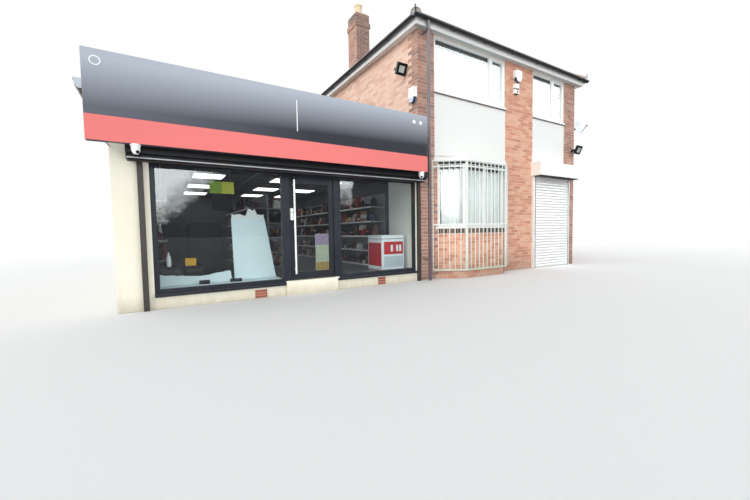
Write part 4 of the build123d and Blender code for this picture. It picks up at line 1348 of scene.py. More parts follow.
@dataclass
class RainGoods:
    """Boards under the eaves, gutters with their unions, and downpipes."""

    union_width: float = 0.055
    union_proud: float = 0.011
    union_wall: float = 0.001
    union_sides: int = 10
    first_union: float = 1.09
    union_step: float = 0.98
    soffit_sheet: float = 0.003
    soffit_boards: int = 3
    soffit_joint: float = 0.012
    fascia_board: float = 0.021
    off_wall: float = 0.006

    def build(self) -> None:
        """Dress the boards and pipes, line the soffits and clip the gutters."""
        dress(WHITE_BOARD, "eaves_boards", bevel=0.002)
        dress(BLACK_PLASTIC, "gutters")
        dress(PIPE_PLASTIC, "downpipes")
        self.soffits()
        self.unions()

    def soffits(self) -> None:
        """Line the soffits with narrow boards that run along each side: the front and rear ones
        grey with painted shade, the side ones white with painted light.
        """
        low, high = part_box("eaves_boards")
        wall_low, wall_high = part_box("house_front_wall")[0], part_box("house_rear_wall")[1]
        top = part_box("house_window_frames")[1].z
        foot = top - self.soffit_sheet
        x0, x1 = low.x + self.fascia_board, high.x - self.fascia_board
        y0, y1 = low.y + self.fascia_board, high.y - self.fascia_board
        walls = (wall_low.y - self.off_wall, wall_high.y + self.off_wall)
        fronts, sides = Draft(), Draft()
        for near, far in self.boards((y0, walls[0]), (walls[1], y1)):
            fronts.box((x0, near, foot), (x1, far, top))
        for near, far in self.boards((x0, wall_low.x - self.off_wall),
                                     (wall_high.x + self.off_wall, x1)):
            sides.box((near, walls[0], foot), (far, walls[1], top))
        fronts.make("soffit_boards_front_rear", [SHADED_SOFFIT_GREY], slot="white_board")
        sides.make("soffit_boards_sides", [LIT_SOFFIT_WHITE], slot="white_board")

    def boards(self, *strips: Plan) -> list[Plan]:
        """Divide strips of soffit into boards.

        Args:
            strips: the near and far edge of each strip.

        Returns:
            The near and far edge of each board.
        """
        edges = []
        for near, far in strips:
            step = (far - near) / self.soffit_boards
            edges += [(near + k * step, near + (k + 1) * step - self.soffit_joint)
                      for k in range(self.soffit_boards)]
        return edges

    def unions(self) -> None:
        """Put a wider clip round the gutters at each joint."""
        low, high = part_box("gutters")
        inset = high.z - low.z
        draft = Draft()
        runs = [((low.x, low.y + inset), (high.x, low.y + inset)),
                ((low.x, high.y - inset), (high.x, high.y - inset)),
                ((low.x + inset, low.y), (low.x + inset, high.y)),
                ((high.x - inset, low.y), (high.x - inset, high.y))]
        for start, end in runs:
            axis = Vector((end[0] - start[0], end[1] - start[1], 0))
            length = axis.length
            axis.normalize()
            at = self.first_union
            while at < length - inset:
                self.clip(draft, Vector((*start, high.z)) + axis * at, axis, inset)
                at += self.union_step
        draft.make("gutter_unions", [BLACK_PLASTIC], slot="black_plastic")

    def clip(self, draft: Draft, centre: Vector, axis: Vector, gutter: float) -> None:
        """Add one clip across a gutter, flush at the lips and proud below.

        Args:
            draft: the mesh that takes it.
            centre: the middle of the gutter's top there.
            axis: the direction along the gutter.
            gutter: the gutter's outer radius.
        """
        side = Vector((-axis.y, axis.x, 0))
        radius = gutter + self.union_proud
        half_turn = range(self.union_sides + 1)
        rings = []
        for reach in (-self.union_width / 2, self.union_width / 2):
            ring = []
            for size, steps in ((radius, half_turn),
                                (radius - self.union_proud - self.union_wall, reversed(half_turn))):
                half = min(size, radius - self.union_proud)
                for k in steps:
                    angle = math.pi * k / self.union_sides
                    ring.append(tuple(centre + axis * reach + side * (half * math.cos(angle))
                                      - Vector((0, 0, size * math.sin(angle)))))
            rings.append(ring)
        draft.loft(rings, smooth=False)


@dataclass
class VerticalBlind:
    """Stiff curved slats that hang side by side from a rail box at a window's head."""

    slat_width: float = 0.089
    pitch: float = 0.080
    turn: float = 7.0
    bow: float = 0.003
    bow_steps: int = 4
    thickness: float = 0.0015
    rail_height: float = 0.16
    rail_depth: float = 0.05
    foot_gap: float = 0.015

    def hang(self, slats: Draft, rails: Draft, ends: tuple[Plan, Plan], levels: Plan) -> None:
        """Hang one blind.

        Args:
            slats: the mesh that takes the slats.
            rails: the mesh that takes the rail box.
            ends: the blind's left and right end in plan.
            levels: the level of the sill and of the window's head.
        """
        start, end = Vector((*ends[0], 0)), Vector((*ends[1], 0))
        length = (end - start).length
        along = (end - start).normalized()
        base = Matrix.Translation(start) @ Matrix.Rotation(math.atan2(along.y, along.x), 4, "Z")
        foot, head = levels
        half = self.rail_depth / 2
        rails.box((0, -half, head - self.rail_height), (length, half, head), place=base)
        count = int((length - self.slat_width) / self.pitch) + 1
        first = (length - (count - 1) * self.pitch) / 2
        profile = self.profile(foot + self.foot_gap, head - self.rail_height)
        for index in range(count):
            place = base @ Matrix.Translation((first + index * self.pitch, 0, 0))
            slats.loft(profile, place=place @ Matrix.Rotation(math.radians(self.turn), 4, "Z"))

    def profile(self, foot: float, top: float) -> list[list[Point]]:
        """Give a slat's bowed outline at both its ends.

        Args:
            foot: the level of its foot.
            top: the level of its top.

        Returns:
            The outline at the foot and at the top.
        """
        shares = [k / self.bow_steps - 0.5 for k in range(self.bow_steps + 1)]
        arc = [(share * self.slat_width, self.bow * math.cos(math.pi * share)) for share in shares]
        ring = arc + [(x, y + self.thickness) for x, y in reversed(arc)]
        return [[(x, y, z) for x, y in ring] for z in (foot, top)]


@dataclass
class HouseWindows:
    """Frames, panels, blinds, dark strips of painted shade and the shuttered entrance of the house.
    """

    blind_inset: float = 0.06
    blind_behind: float = 0.03
    bay_blind_line: float = 0.068
    hairline: float = 0.0005
    flashing: float = 0.022
    underside_shade_back: float = 0.004
    head_shadow: float = 0.045
    strip_sheet: float = 0.003
    box_shadow_inset: Plan = (0.05, 0.02)
    box_shadow: float = 0.012
    curtain_shadow: float = 0.009
    slat: float = 0.075
    slat_gap: float = 0.002
    slat_root: float = 0.002
    slat_clear: float = 0.003
    slat_roundness: float = 0.6
    slat_steps: int = 6

    def build(self) -> None:
        """Dress the frames, hang the blinds and set the strips and slats."""
        dress(WHITE_FRAME, "house_window_frames", "bay_window_frame", "rear_door", bevel=0.004)
        dress(HOUSE_GLASS, "house_window_glass", "bay_window_glass")
        dress(WHITE_BOARD, "spandrel_panels", "bay_flat_roof", bevel=0.004)
        dress(GRILLE_PAINT, "grille_left_panel", "grille_front_panel", "grille_right_panel")
        dress(WHITE_METAL, "entrance_shutter_box", "entrance_shutter_rails", bevel=0.004)
        dress(TIMBER, "house_floors")
        self.blinds()
        self.underside_shades()
        self.bay_head_shadow()
        self.slats()
        self.entrance_seals()

    def blinds(self) -> None:
        """Hang a blind behind each front window of the house."""
        slats, rails, blind = Draft(), Draft(), VerticalBlind()
        inset = self.blind_inset
        levels = (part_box("spandrel_panels")[1].z + inset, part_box("house_window_frames")[1].z)
        for left, right in front_openings():
            ends = ((left + inset, self.blind_behind), (right - inset, self.blind_behind))
            blind.hang(slats, rails, ends, levels)
        low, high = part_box("bay_window_frame")
        bay = [Vector(corner) for corner in self.bay_corners(-self.bay_blind_line)]
        for start, end in zip(bay, bay[1:]):
            reach = (end - start).normalized() * inset
            blind.hang(slats, rails, (tuple(start + reach), tuple(end - reach)),
                       (low.z + inset, high.z - TOUCH))
        # The slats glow as painted light.
        slats.make("blind_slats", [GLOWING_BLIND_WHITE], slot="white_frame")
        # The head rails are dark as painted shade at the window heads.
        rails.make("blind_rails", [SHADED_BLIND_RAIL], slot="white_frame", bevel=0.002)

    def bay_corners(self, shift: float) -> list[Plan]:
        """Give the bay frame's corners in plan at its head, moved outwards by a distance.

        Args:
            shift: how far outwards in metres, or inwards where it is below 0.

        Returns:
            The four corners from left to right.
        """
        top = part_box("bay_window_frame")[1].z
        plan = {(round(v.x, 4), round(v.y, 4)) for v in corners("bay_window_frame")
                if v.z > top - TOUCH}
        front = min(y for _, y in plan)
        face = sorted(x for x, y in plan if y == front)
        left, right = min(plan), max(plan)
        slope = Vector((face[0] - left[0], front - left[1])).normalized()
        lean = (1 + slope.y) / slope.x
        return [(left[0] + shift * slope.y, left[1] - shift * slope.x),
                (face[0] - shift * lean, front - shift), (face[-1] + shift * lean, front - shift),
                (right[0] - shift * slope.y, right[1] - shift * slope.x)]

    def bay_head_shadow(self) -> None:
        """Fix a dark strip along the head of the bay's windows, under its roof, as the painted
        shadow of the roof.
        """
        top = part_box("bay_window_frame")[1].z
        outer, inner = self.bay_corners(self.strip_sheet), self.bay_corners(self.hairline)
        draft = Draft()
        for a, b, c, d in zip(inner, outer, outer[1:], inner[1:]):
            draft.loft([[(x, y, z) for x, y in (a, b, c, d)] for z in (top - self.head_shadow, top)],
                       smooth=False)
        draft.make("bay_head_strip", [SHADOW_STRIP], slot="white_frame")

    def underside_shades(self) -> None:
        """Tuck a thin dark strip under each upper sill, as the sill's painted shadow."""
        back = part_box("house_window_frames")[0].y + self.underside_shade_back
        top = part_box("spandrel_panels")[1].z
        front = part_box("house_front_wall")[0].y - self.hairline
        draft = Draft()
        for left, right in front_openings():
            draft.box((left, back, top - self.flashing), (right, front, top - self.hairline))
        draft.make("sill_flashings", [UNDERSIDE_SHADE], slot="white_frame")

    def entrance_seals(self) -> None:
        """Add dark strips of painted shadow under the shutter box and at both ends of the curtain,
        where the grooves are.
        """
        box_low, box_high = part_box("entrance_shutter_box")
        low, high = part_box("entrance_shutter_curtain")
        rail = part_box("entrance_shutter_rails")[0].y
        side, front = self.box_shadow_inset
        half = self.curtain_shadow
        draft = Draft()
        draft.box((box_low.x + side, box_low.y + front, box_low.z - self.box_shadow),
                  (box_high.x - side, rail - self.slat_gap, box_low.z - self.hairline))
        for x in (low.x, high.x):
            draft.box((x - half, rail - self.strip_sheet, low.z),
                      (x + half, rail - self.hairline, high.z - self.box_shadow - TOUCH))
        draft.make("entrance_seals", [SHADOW_STRIP], slot="white_metal")

    def slats(self) -> None:
        """Build the entrance shutter's curtain from curved slats."""
        low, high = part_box("entrance_shutter_curtain")
        draft = Draft()
        count = round((high.z - low.z) / self.slat)
        pitch = (high.z - low.z) / count
        height = pitch - self.slat_gap
        depth = high.y - low.y - self.slat_clear
        for index in range(count):
            foot = low.z + index * pitch
            profile = []
            for k in range(self.slat_steps + 1):
                share = k / self.slat_steps
                bulge = self.slat_root + depth * math.sin(math.pi * share) ** self.slat_roundness
                profile.append((high.y - bulge, foot + share * height))
            profile += [(high.y, foot + height), (high.y, foot)]
            draft.loft([[(x, y, z) for y, z in profile] for x in (low.x, high.x)], smooth=False)
        piece = draft.make("entrance_shutter_slats", [WHITE_METAL], slot="white_metal")
        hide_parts("entrance_shutter_curtain")


@dataclass
class ShopShell:
    """The shop's rendered walls, roof and room."""

    lining: float = 0.012
    pale_depth: float = 1.0
    air_bricks_at: tuple[tuple[float, float, float, float], ...] = (
        (-3.412, -3.217, 0.005, 0.14), (-1.051, -0.875, 0.01, 0.155))
    air_brick_proud: float = 0.006
    air_brick_bed: float = 0.002
    hole_columns: int = 6
    hole_rows: int = 3
    hole_half: Plan = (0.009, 0.012)
    hole_sheet: Plan = (0.0075, 0.0055)

    def build(self) -> None:
        """Dress the shell and line the room."""
        dress(CREAM_RENDER, "shop_left_wall", "shop_rear_wall", "shop_front_piers",
              "shop_front_beam", "shop_plinth", bevel=0.004)
        dress(FELT, "shop_roof")
        dress(FASCIA_GREY, "shop_roof_edge", bevel=0.003)
        # The roof edge's downward faces take the dark underside finish, as painted shade.
        paint("shop_roof_edge", UNDERSIDE_SHADE, faces_down)
        dress(SHOP_FLOOR, "shop_floor")
        dress(CEILING, "shop_ceiling")
        self.line_room()
        self.air_bricks()

    def line_room(self) -> None:
        """Line the room's walls: pale beside the windows, and darker further in as painted shade.
        """
        low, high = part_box("shop_ceiling")
        floor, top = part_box("shop_floor")[1].z, low.z
        draft = Draft()
        for near, far, slot in ((low.y, self.pale_depth, 0), (self.pale_depth, high.y, 1)):
            draft.box((low.x, near, floor), (low.x + self.lining, far, top), slot=slot)
            draft.box((high.x - self.lining, near, floor), (high.x, far, top), slot=slot)
        draft.box((low.x, high.y - self.lining, floor), (high.x, high.y, top), slot=1)
        draft.make("room_lining", [PLASTER, SHADED_ROOM_WALL], slot="plaster")

    def air_bricks(self) -> None:
        """Set two terracotta air bricks low in the front, their holes filled with black as painted
        shade.
        """
        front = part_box("shop_front_beam")[0].y
        wide, tall = self.hole_half
        proud, sunk = (front - sheet for sheet in self.hole_sheet)
        draft = Draft()
        for low, high, foot, top in self.air_bricks_at:
            x0, x1 = party_wall() + low, party_wall() + high
            draft.box((x0, front - self.air_brick_proud, foot),
                      (x1, front + self.air_brick_bed, top))
            for column in range(self.hole_columns):
                x = x0 + (column + 0.5) * (x1 - x0) / self.hole_columns
                for row in range(self.hole_rows):
                    z = foot + (row + 0.5) * (top - foot) / self.hole_rows
                    # Each hole is a thin black block: painted shade for the dark inside of the
                    # hole.
                    draft.box((x - wide, proud, z - tall), (x + wide, sunk, z + tall), slot=1)
        draft.make("air_bricks", [TERRACOTTA, BLACK_PAINT_AND_HOLE_SHADE], slot="brick")


@dataclass
class Shopfront:
    """Sills, frames, glass, the door and the roller shutter over them."""

    end_cap: float = 0.002
    lip_foot: float = 0.01
    lip_edge: Plan = (0.004, 0.022)
    lip_edge_start: float = 0.006
    lip_edge_sheet: Plan = (0.002, 0.0003)
    bar_inset: float = 0.03
    bar_gap: float = 0.006
    bar_levels: Plan = (-0.022, 0.03)
    key_level: float = 0.06
    key_radius: float = 0.011
    key_reach: float = 0.008
    knob_level: float = 0.13
    knob_radius: float = 0.015
    knob_reach: float = 0.006
    lock_sides: int = 16
    cap_wall: float = 0.003
    cap_over: Plan = (0.01, 0.05)
    cap_under: Plan = (0.02, 0.01)

    def build(self) -> None:
        """Dress the shopfront."""
        dress(ANTHRACITE, "window_sills", "shop_window_frames", "door_frame", "door_leaf",
              bevel=0.003)
        dress(CLEAR_GLASS, "shop_window_glass", "door_glass")
        dress(WHITE_METAL, "door_pull_bar", "door_lock_box")
        dress(STEEL, "door_frame_hinges", "door_leaf_hinges")
        dress(BLACK_PAINT_AND_HOLE_SHADE, "shutter_box", bevel=0.003)
        dress(GUIDE_PAINT, "shutter_guide_rails", bevel=0.003)
        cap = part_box("shutter_box")[0].x + self.end_cap
        paint("shutter_box", GUIDE_PAINT, lambda centre, normal: centre.x < cap)
        self.shutter_lip()
        self.pull_ends()
        self.lock()

    def shutter_lip(self) -> None:
        """Show the raised shutter's bottom bar and the galvanised edge along the box's lip."""
        low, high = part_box("shutter_box")
        lip = [v.y for v in corners("shutter_box") if v.z < low.z + self.lip_foot]
        slot_y = sorted({round(y, 4) for y in lip})[1:3]
        out, back = (min(lip) - sheet for sheet in self.lip_edge_sheet)
        foot, top = (low.z + level for level in self.lip_edge)
        draft = Draft()
        draft.box((low.x + self.lip_edge_start, out, foot), (high.x, back, top), slot=1)
        foot, top = (low.z + level for level in self.bar_levels)
        draft.box((low.x + self.bar_inset, slot_y[0] + self.bar_gap, foot),
                  (high.x - self.bar_inset, slot_y[1] - self.bar_gap, top))
        draft.make("shutter_lip", [GUIDE_PAINT, GALVANISED], slot="black_metal", bevel=0.001)

    def lock(self) -> None:
        """Add the cylinder with its key slot and the turn knob with its wing to the lock box; the
        key slot is a thin dark block of painted shade.
        """
        low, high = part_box("door_lock_box")
        x, y = (low.x + high.x) / 2, low.y
        key, knob = low.z + self.key_level, low.z + self.knob_level
        draft = Draft()
        draft.tube((x, y, key), (x, y - self.key_reach, key), self.key_radius, self.lock_sides)
        draft.tube((x, y, knob), (x, y - self.knob_reach, knob), self.knob_radius, self.lock_sides)
        # The first block is the key slot, painted shade in place of the keyway; the second is the
        # knob's wing.
        for level, near, far, half_width, half_height in (
                (key, 0.009, 0.0075, 0.0015, 0.008), (knob, 0.012, 0.006, 0.004, 0.01)):
            draft.box((x - half_width, y - near, level - half_height),
                      (x + half_width, y - far, level + half_height), slot=1)
        draft.make("door_lock_cylinder", [STEEL, DARK_PLASTIC_AND_SLOT_SHADE], body=DOOR, slot="steel")

    def pull_ends(self) -> None:
        """Put black ends on the door's pull bar."""
        low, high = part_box("door_pull_bar")
        radius = (high.x - low.x) / 2
        x, y = low.x + radius, low.y + radius
        draft = Draft()
        for level, (under, over) in ((high.z, self.cap_over), (low.z, self.cap_under)):
            draft.tube((x, y, level - under), (x, y, level + over), radius + self.cap_wall)
        draft.make("door_pull_ends", [BLACK_PLASTIC], body=DOOR, slot="black_metal")


@dataclass
class Sign:
    """The sign's face with its painted reflection, its red band, divider and round marks."""

    band_sheet: float = 0.003
    mark_sheet: float = 0.004
    band_share: float = 0.2824
    divider_share: float = 0.4977
    divider_half: float = 0.007
    divider: Plan = (0.44, 0.92)
    dots: tuple[float, ...] = (4.944, 5.103)
    dot_level: float = 0.93
    dot_radius: float = 0.036
    dot_sides: int = 24
    ring_at: Plan = (0.135, 0.941)
    ring_radius: float = 0.057
    ring_line: float = 0.012
    ring_sides: int = 28

    def build(self) -> None:
        """Dress the tray and set the pieces on its face."""
        dress(SIGN_FACE, "sign_tray")
        dress(GALVANISED, "sign_brackets", "sign_end_stay")
        low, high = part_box("sign_tray")
        band = Draft()
        band.box((low.x, low.y - self.band_sheet, low.z),
                 (high.x, low.y, low.z + self.band_share * (high.z - low.z)))
        band.make("sign_band", [SIGN_RED], slot="sign")
        marks = Draft()
        out = low.y - self.mark_sheet
        middle = low.x + self.divider_share * (high.x - low.x)
        marks.box((middle - self.divider_half, out, low.z + self.divider[0]),
                  (middle + self.divider_half, low.y, low.z + self.divider[1]))
        for at in self.dots:
            x, z = low.x + at, low.z + self.dot_level
            marks.tube((x, low.y, z), (x, out, z), self.dot_radius, self.dot_sides)
        self.ring(marks, (low.x + self.ring_at[0], low.y, low.z + self.ring_at[1]))
        marks.make("sign_marks", [SIGN_WHITE], slot="sign")

    def ring(self, draft: Draft, centre: Point) -> None:
        """Add a flat ring on the sign's face.

        Args:
            draft: the mesh that takes it.
            centre: its centre on the face.
        """
        at_x, at_y, at_z = centre
        inner, outer = ([(at_x + x, at_z + z) for x, z in curve(radius, self.ring_sides)]
                        for radius in (self.ring_radius - self.ring_line, self.ring_radius))
        for k in range(self.ring_sides):
            after = (k + 1) % self.ring_sides
            outline = (inner[k], outer[k], outer[after], inner[after])
            draft.loft([[(x, y, z) for x, z in outline] for y in (at_y, at_y - self.mark_sheet)],
                       smooth=False)


@dataclass(frozen=True)
class LooseThing:
    """Something loose in the shop, made of blocks and round bars.

    Places across are measured from the wall that house and shop share, and levels from the top
    of the node below. A block has the number of its finish and its near and far place along x,
    y and z. A bar has that number, both its ends, the radius at each and its sides.
    """

    name: str
    finishes: tuple[Surface, ...]
    blocks: tuple[tuple[int, Plan, Plan, Plan], ...]
    bars: tuple[tuple[int, Point, Point, Plan, int], ...] = ()
    below: str = "shop_floor"
    slot: str = "board"
    bevel: float = 0.0

    def build(self) -> None:
        """Set it in its place."""
        place = Matrix.Translation((party_wall(), 0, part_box(self.below)[1].z))
        draft = Draft()
        for slot, *spans in self.blocks:
            draft.box(*zip(*spans), slot=slot, place=place)
        for slot, start, end, (radius, end_radius), sides in self.bars:
            draft.tube(place @ Vector(start), place @ Vector(end), radius, sides, slot=slot,
                       end_radius=end_radius)
        draft.make(self.name, self.finishes, slot=self.slot, bevel=self.bevel)


FREEZER_PANELS = LooseThing(
    "freezer_panels", (FREEZER_RED, FREEZER_GREY, DARK_PLASTIC_AND_SLOT_SHADE, FREEZER_WHITE),
    ((0, (-0.680, -0.185), (0.201, 0.205), (0.33, 0.60)),
     (0, (-0.734, -0.730), (0.235, 0.755), (0.08, 0.58)),
     (1, (-0.680, -0.185), (0.201, 0.205), (0.06, 0.29)),
     (2, (-0.732, -0.157), (0.203, 0.785), (0.655, 0.665)),
     (0, (-0.600, -0.545), (0.199, 0.201), (0.39, 0.53)),
     (3, (-0.510, -0.455), (0.199, 0.201), (0.39, 0.53)),
     (3, (-0.370, -0.315), (0.199, 0.201), (0.39, 0.53)),
     (3, (-0.290, -0.235), (0.199, 0.201), (0.39, 0.53))), slot="white_metal", bevel=0.001)
HANGING_CARD = LooseThing(
    "hanging_card", (LIME_CARD, GREEN_CARD, STEEL, DARK_PLASTIC_AND_SLOT_SHADE),
    ((1, (-3.880, -3.665), (1.20, 1.22), (1.585, 1.810)),
     (0, (-3.665, -3.450), (1.20, 1.22), (1.585, 1.810)),
     (3, (-3.840, -3.510), (1.20, 1.23), (1.260, 1.585))),
    ((2, (-3.82, 1.21, 1.81), (-3.82, 1.21, 2.11), (0.003, 0.003), 6),
     (2, (-3.51, 1.21, 1.81), (-3.51, 1.21, 2.11), (0.003, 0.003), 6)))
POSTER_BOARD = LooseThing(
    "poster_board", (POSTER_TOP, POSTER_MIDDLE, POSTER_FOOT, FREEZER_WHITE),
    ((3, (-1.895, -1.670), (0.840, 0.970), (0.0, 0.012)),
     (3, (-1.935, -1.630), (0.900, 0.912), (0.012, 0.79)),
     (2, (-1.929, -1.636), (0.898, 0.900), (0.02, 0.20)),
     (1, (-1.929, -1.636), (0.898, 0.900), (0.20, 0.56)),
     (0, (-1.929, -1.636), (0.898, 0.900), (0.56, 0.78))))
WINDOW_THINGS = LooseThing(
    "window_display_things", (DARK_PLASTIC_AND_SLOT_SHADE, YELLOW_BOX, GUIDE_PAINT, FREEZER_WHITE),
    ((0, (-4.72, -4.40), (0.420, 0.74), (0.0, 0.285)),
     (2, (-4.69, -4.43), (0.416, 0.42), (0.19, 0.23)),
     (0, (-4.38, -4.10), (0.420, 0.74), (0.0, 0.285)),
     (2, (-4.35, -4.13), (0.416, 0.42), (0.19, 0.23)),
     (1, (-4.36, -4.20), (0.500, 0.64), (0.285, 0.405)),
     (0, (-4.19, -4.04), (0.160, 0.25), (0.0, 0.06))),
    ((0, (-3.73, 0.20, 0.028), (-3.55, 0.17, 0.028), (0.028, 0.028), 14),
     (3, (-4.59, 0.52, 0.285), (-4.59, 0.52, 0.435), (0.033, 0.033), 16),
     (3, (-4.59, 0.52, 0.435), (-4.59, 0.52, 0.475), (0.033, 0.012), 16),
     (3, (-4.59, 0.52, 0.475), (-4.59, 0.52, 0.510), (0.012, 0.012), 16)),
    below="window_display_deck", bevel=0.002)


@dataclass
class ShopInterior:
    """Light panels, shelves with their packets, and the things in the windows."""

    shelf_depth: float = 0.42
    shelf_levels: int = 5
    shelf_board: float = 0.025
    shelf_unit: float = 1.75
    shelf_back: float = 0.02
    island_clear: float = 1.0
    strip_gap: Plan = (0.001, 0.004)
    strip_reach: Plan = (0.006, 0.003)
    packet_sizes: tuple[Plan, Plan, Plan] = ((0.05, 0.19), (0.08, 0.2), (0.07, 0.30))
    packet_gap: float = 0.006
    row_ends: Plan = (0.02, 0.08)
    headroom: float = 0.03
    bare_share: float = 0.06
    forward: Plan = (0.75, 0.97)
    tin_share: float = 0.34
    bag_share: float = 0.62
    tin_body: float = 0.75
    tin_lid: float = 0.6
    tin_sides: int = 8
    bag_outline: tuple[Plan, ...] = ((0.0, 1.0), (0.7, 0.8), (1.0, 0.15))
    box_shift: float = 0.012
    seed: int = 23

    def build(self) -> None:
        """Dress the furniture and fill the shelves."""
        self.chance = random.Random(self.seed)
        dress(LIGHT_PANEL, "ceiling_lights")
        dress(SHELF, "shop_shelving")
        dress(FREEZER_WHITE, "chest_freezer", bevel=0.012)
        dress(PALE_BOARD, "window_display_deck", "leaning_board", bevel=0.006)
        dress(DARK_WOOD, "dark_cabinet", bevel=0.012)
        self.stock()
        self.shelf_edges()
        FREEZER_PANELS.build()
        HANGING_CARD.build()
        self.foam_edge()
        POSTER_BOARD.build()
        self.sloping_panel()
        WINDOW_THINGS.build()

    def shelf_boards(self) -> list[tuple]:
        """Find each shelf board.

        Returns:
            The back edge, front edge, both ends, top level and headroom of each.
        """
        low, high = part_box("shop_shelving")
        near, far = low.x + self.island_clear, high.x - self.island_clear
        island = [v for v in corners("shop_shelving") if near < v.x < far]
        centre = sum(v.x for v in island) / len(island)
        island_y = (min(v.y for v in island), max(v.y for v in island))
        rows = ((low.x, 1, (low.y, high.y)), (high.x, -1, (low.y, high.y)),
                (centre, 1, island_y), (centre, -1, island_y))
        step = self.shelf_unit / self.shelf_levels
        return [(back + way * self.shelf_back, back + way * self.shelf_depth, *ends,
                 low.z + level * step + self.shelf_board, step - self.shelf_board)
                for level in range(self.shelf_levels) for back, way, ends in rows]

    def stock(self) -> None:
        """Stand rows of packets on every shelf."""
        draft = Draft()
        start, end = self.row_ends
        for x0, x1, y0, y1, top, room in self.shelf_boards():
            y = y0 + start
            while y < y1 - end:
                width, depth, height = (self.chance.uniform(*size) for size in self.packet_sizes)
                if self.chance.random() > self.bare_share:
                    inner = x0 + math.copysign(self.shelf_back, x1 - x0)
                    reach = (x1 - inner) * self.chance.uniform(*self.forward)
                    a, b = sorted((inner + reach - math.copysign(depth, reach), inner + reach))
                    self.packet(draft, (a, y, top), (b, y + width - self.packet_gap,
                                                     top + min(height, room - self.headroom)))
                y += width
        draft.make("shelf_packets", [GOODS], slot="board")

    def packet(self, draft: Draft, low: Point, high: Point) -> None:
        """Add one thing of the stock: a tin, a bag that narrows to its top, or a stack of boxes.

        Args:
            draft: the stock's mesh.
            low: the lower corner of its place.
            high: the upper corner of its place.
        """
        (x0, y0, z0), (x1, y1, z1) = low, high
        kind, tone = self.chance.random(), self.chance.random()
        x, y, height = (x0 + x1) / 2, (y0 + y1) / 2, z1 - z0
        if kind < self.tin_share:
            radius = min(x1 - x0, y1 - y0) / 2
            shoulder = z0 + height * self.tin_body
            draft.tube((x, y, z0), (x, y, shoulder), radius, self.tin_sides, tone)
            draft.tube((x, y, shoulder), (x, y, z1), radius * self.tin_lid, self.tin_sides,
                       self.chance.random())
        elif kind < self.bag_share:
            rings = []
            for share, part in self.bag_outline:
                a, b, z = x - part * (x - x0), x + part * (x1 - x), z0 + height * share
                rings.append([(a, y0, z), (b, y0, z), (b, y1, z), (a, y1, z)])
            draft.loft(rings, tone, smooth=False)
        else:
            layers = self.chance.choice((1, 2, 3))
            step = height / layers
            for layer in range(layers):
                shift = self.chance.uniform(0, self.box_shift) if layer else 0.0
                foot = z0 + layer * step
                draft.box((x0 + shift, y0, foot),
                          (x1 - shift, y1 - shift, z0 + (layer + 1) * step - TOUCH),
                          tone if layer % 2 == 0 else self.chance.random())

    def shelf_edges(self) -> None:
        """Clip a pale price strip along the front of each shelf."""
        draft = Draft()
        under, over = self.strip_reach
        for x0, x1, y0, y1, top, _ in self.shelf_boards():
            a, b = sorted(x1 + math.copysign(gap, x1 - x0) for gap in self.strip_gap)
            draft.box((a, y0, top - self.shelf_board - under), (b, y1, top + over))
        draft.make("shelf_edge_strips", [SIGN_WHITE], slot="shelf")

    def foam_edge(self) -> None:
        """Leave a torn sheet of foam along the leaning board's top edge."""
        low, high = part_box("leaning_board")
        tops = [v.x for v in corners("leaning_board") if v.z > high.z - 0.01]
        x0, x1 = min(tops) + 0.01, max(tops) - 0.01
        count, peak, tear = 14, range(7, 11), (0.02, 0.06)
        outline = [(x1, high.z - 0.004), (x0, high.z - 0.004)]
        outline += [(x0 + (x1 - x0) * k / count,
                     high.z + self.chance.uniform(*tear) + (0.11 if k in peak else 0.02))
                    for k in range(count + 1)]
        draft = Draft()
        draft.loft([[(x, y, z) for x, z in outline] for y in (high.y - 0.028, high.y - 0.010)],
                   smooth=False)
        draft.make("torn_foam_sheet", [FOAM], slot="board")

    def sloping_panel(self) -> None:
        """Lean a pale panel with a torn upper edge over the front of the display deck."""
        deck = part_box("window_display_deck")[1].z
        x0, x1 = party_wall() - 4.72, party_wall() - 3.69
        count, thick, front, lean = 18, 0.006, 0.275, 0.7
        foot, head = [], []
        for k in range(count + 1):
            x = x0 + (x1 - x0) * k / count
            rise = 0.175 - 0.05 * math.sin(math.pi * k / count) + self.chance.uniform(-0.008, 0.008)
            foot.append((x, front, deck + 0.002))
            head.append((x, front + rise * lean, deck + rise))
        outline = foot + head[::-1]
        draft = Draft()
        draft.loft([outline, [(x, y + thick, z) for x, y, z in outline]], smooth=False)
        draft.make("sloping_panel", [PALE_BOARD], slot="board")


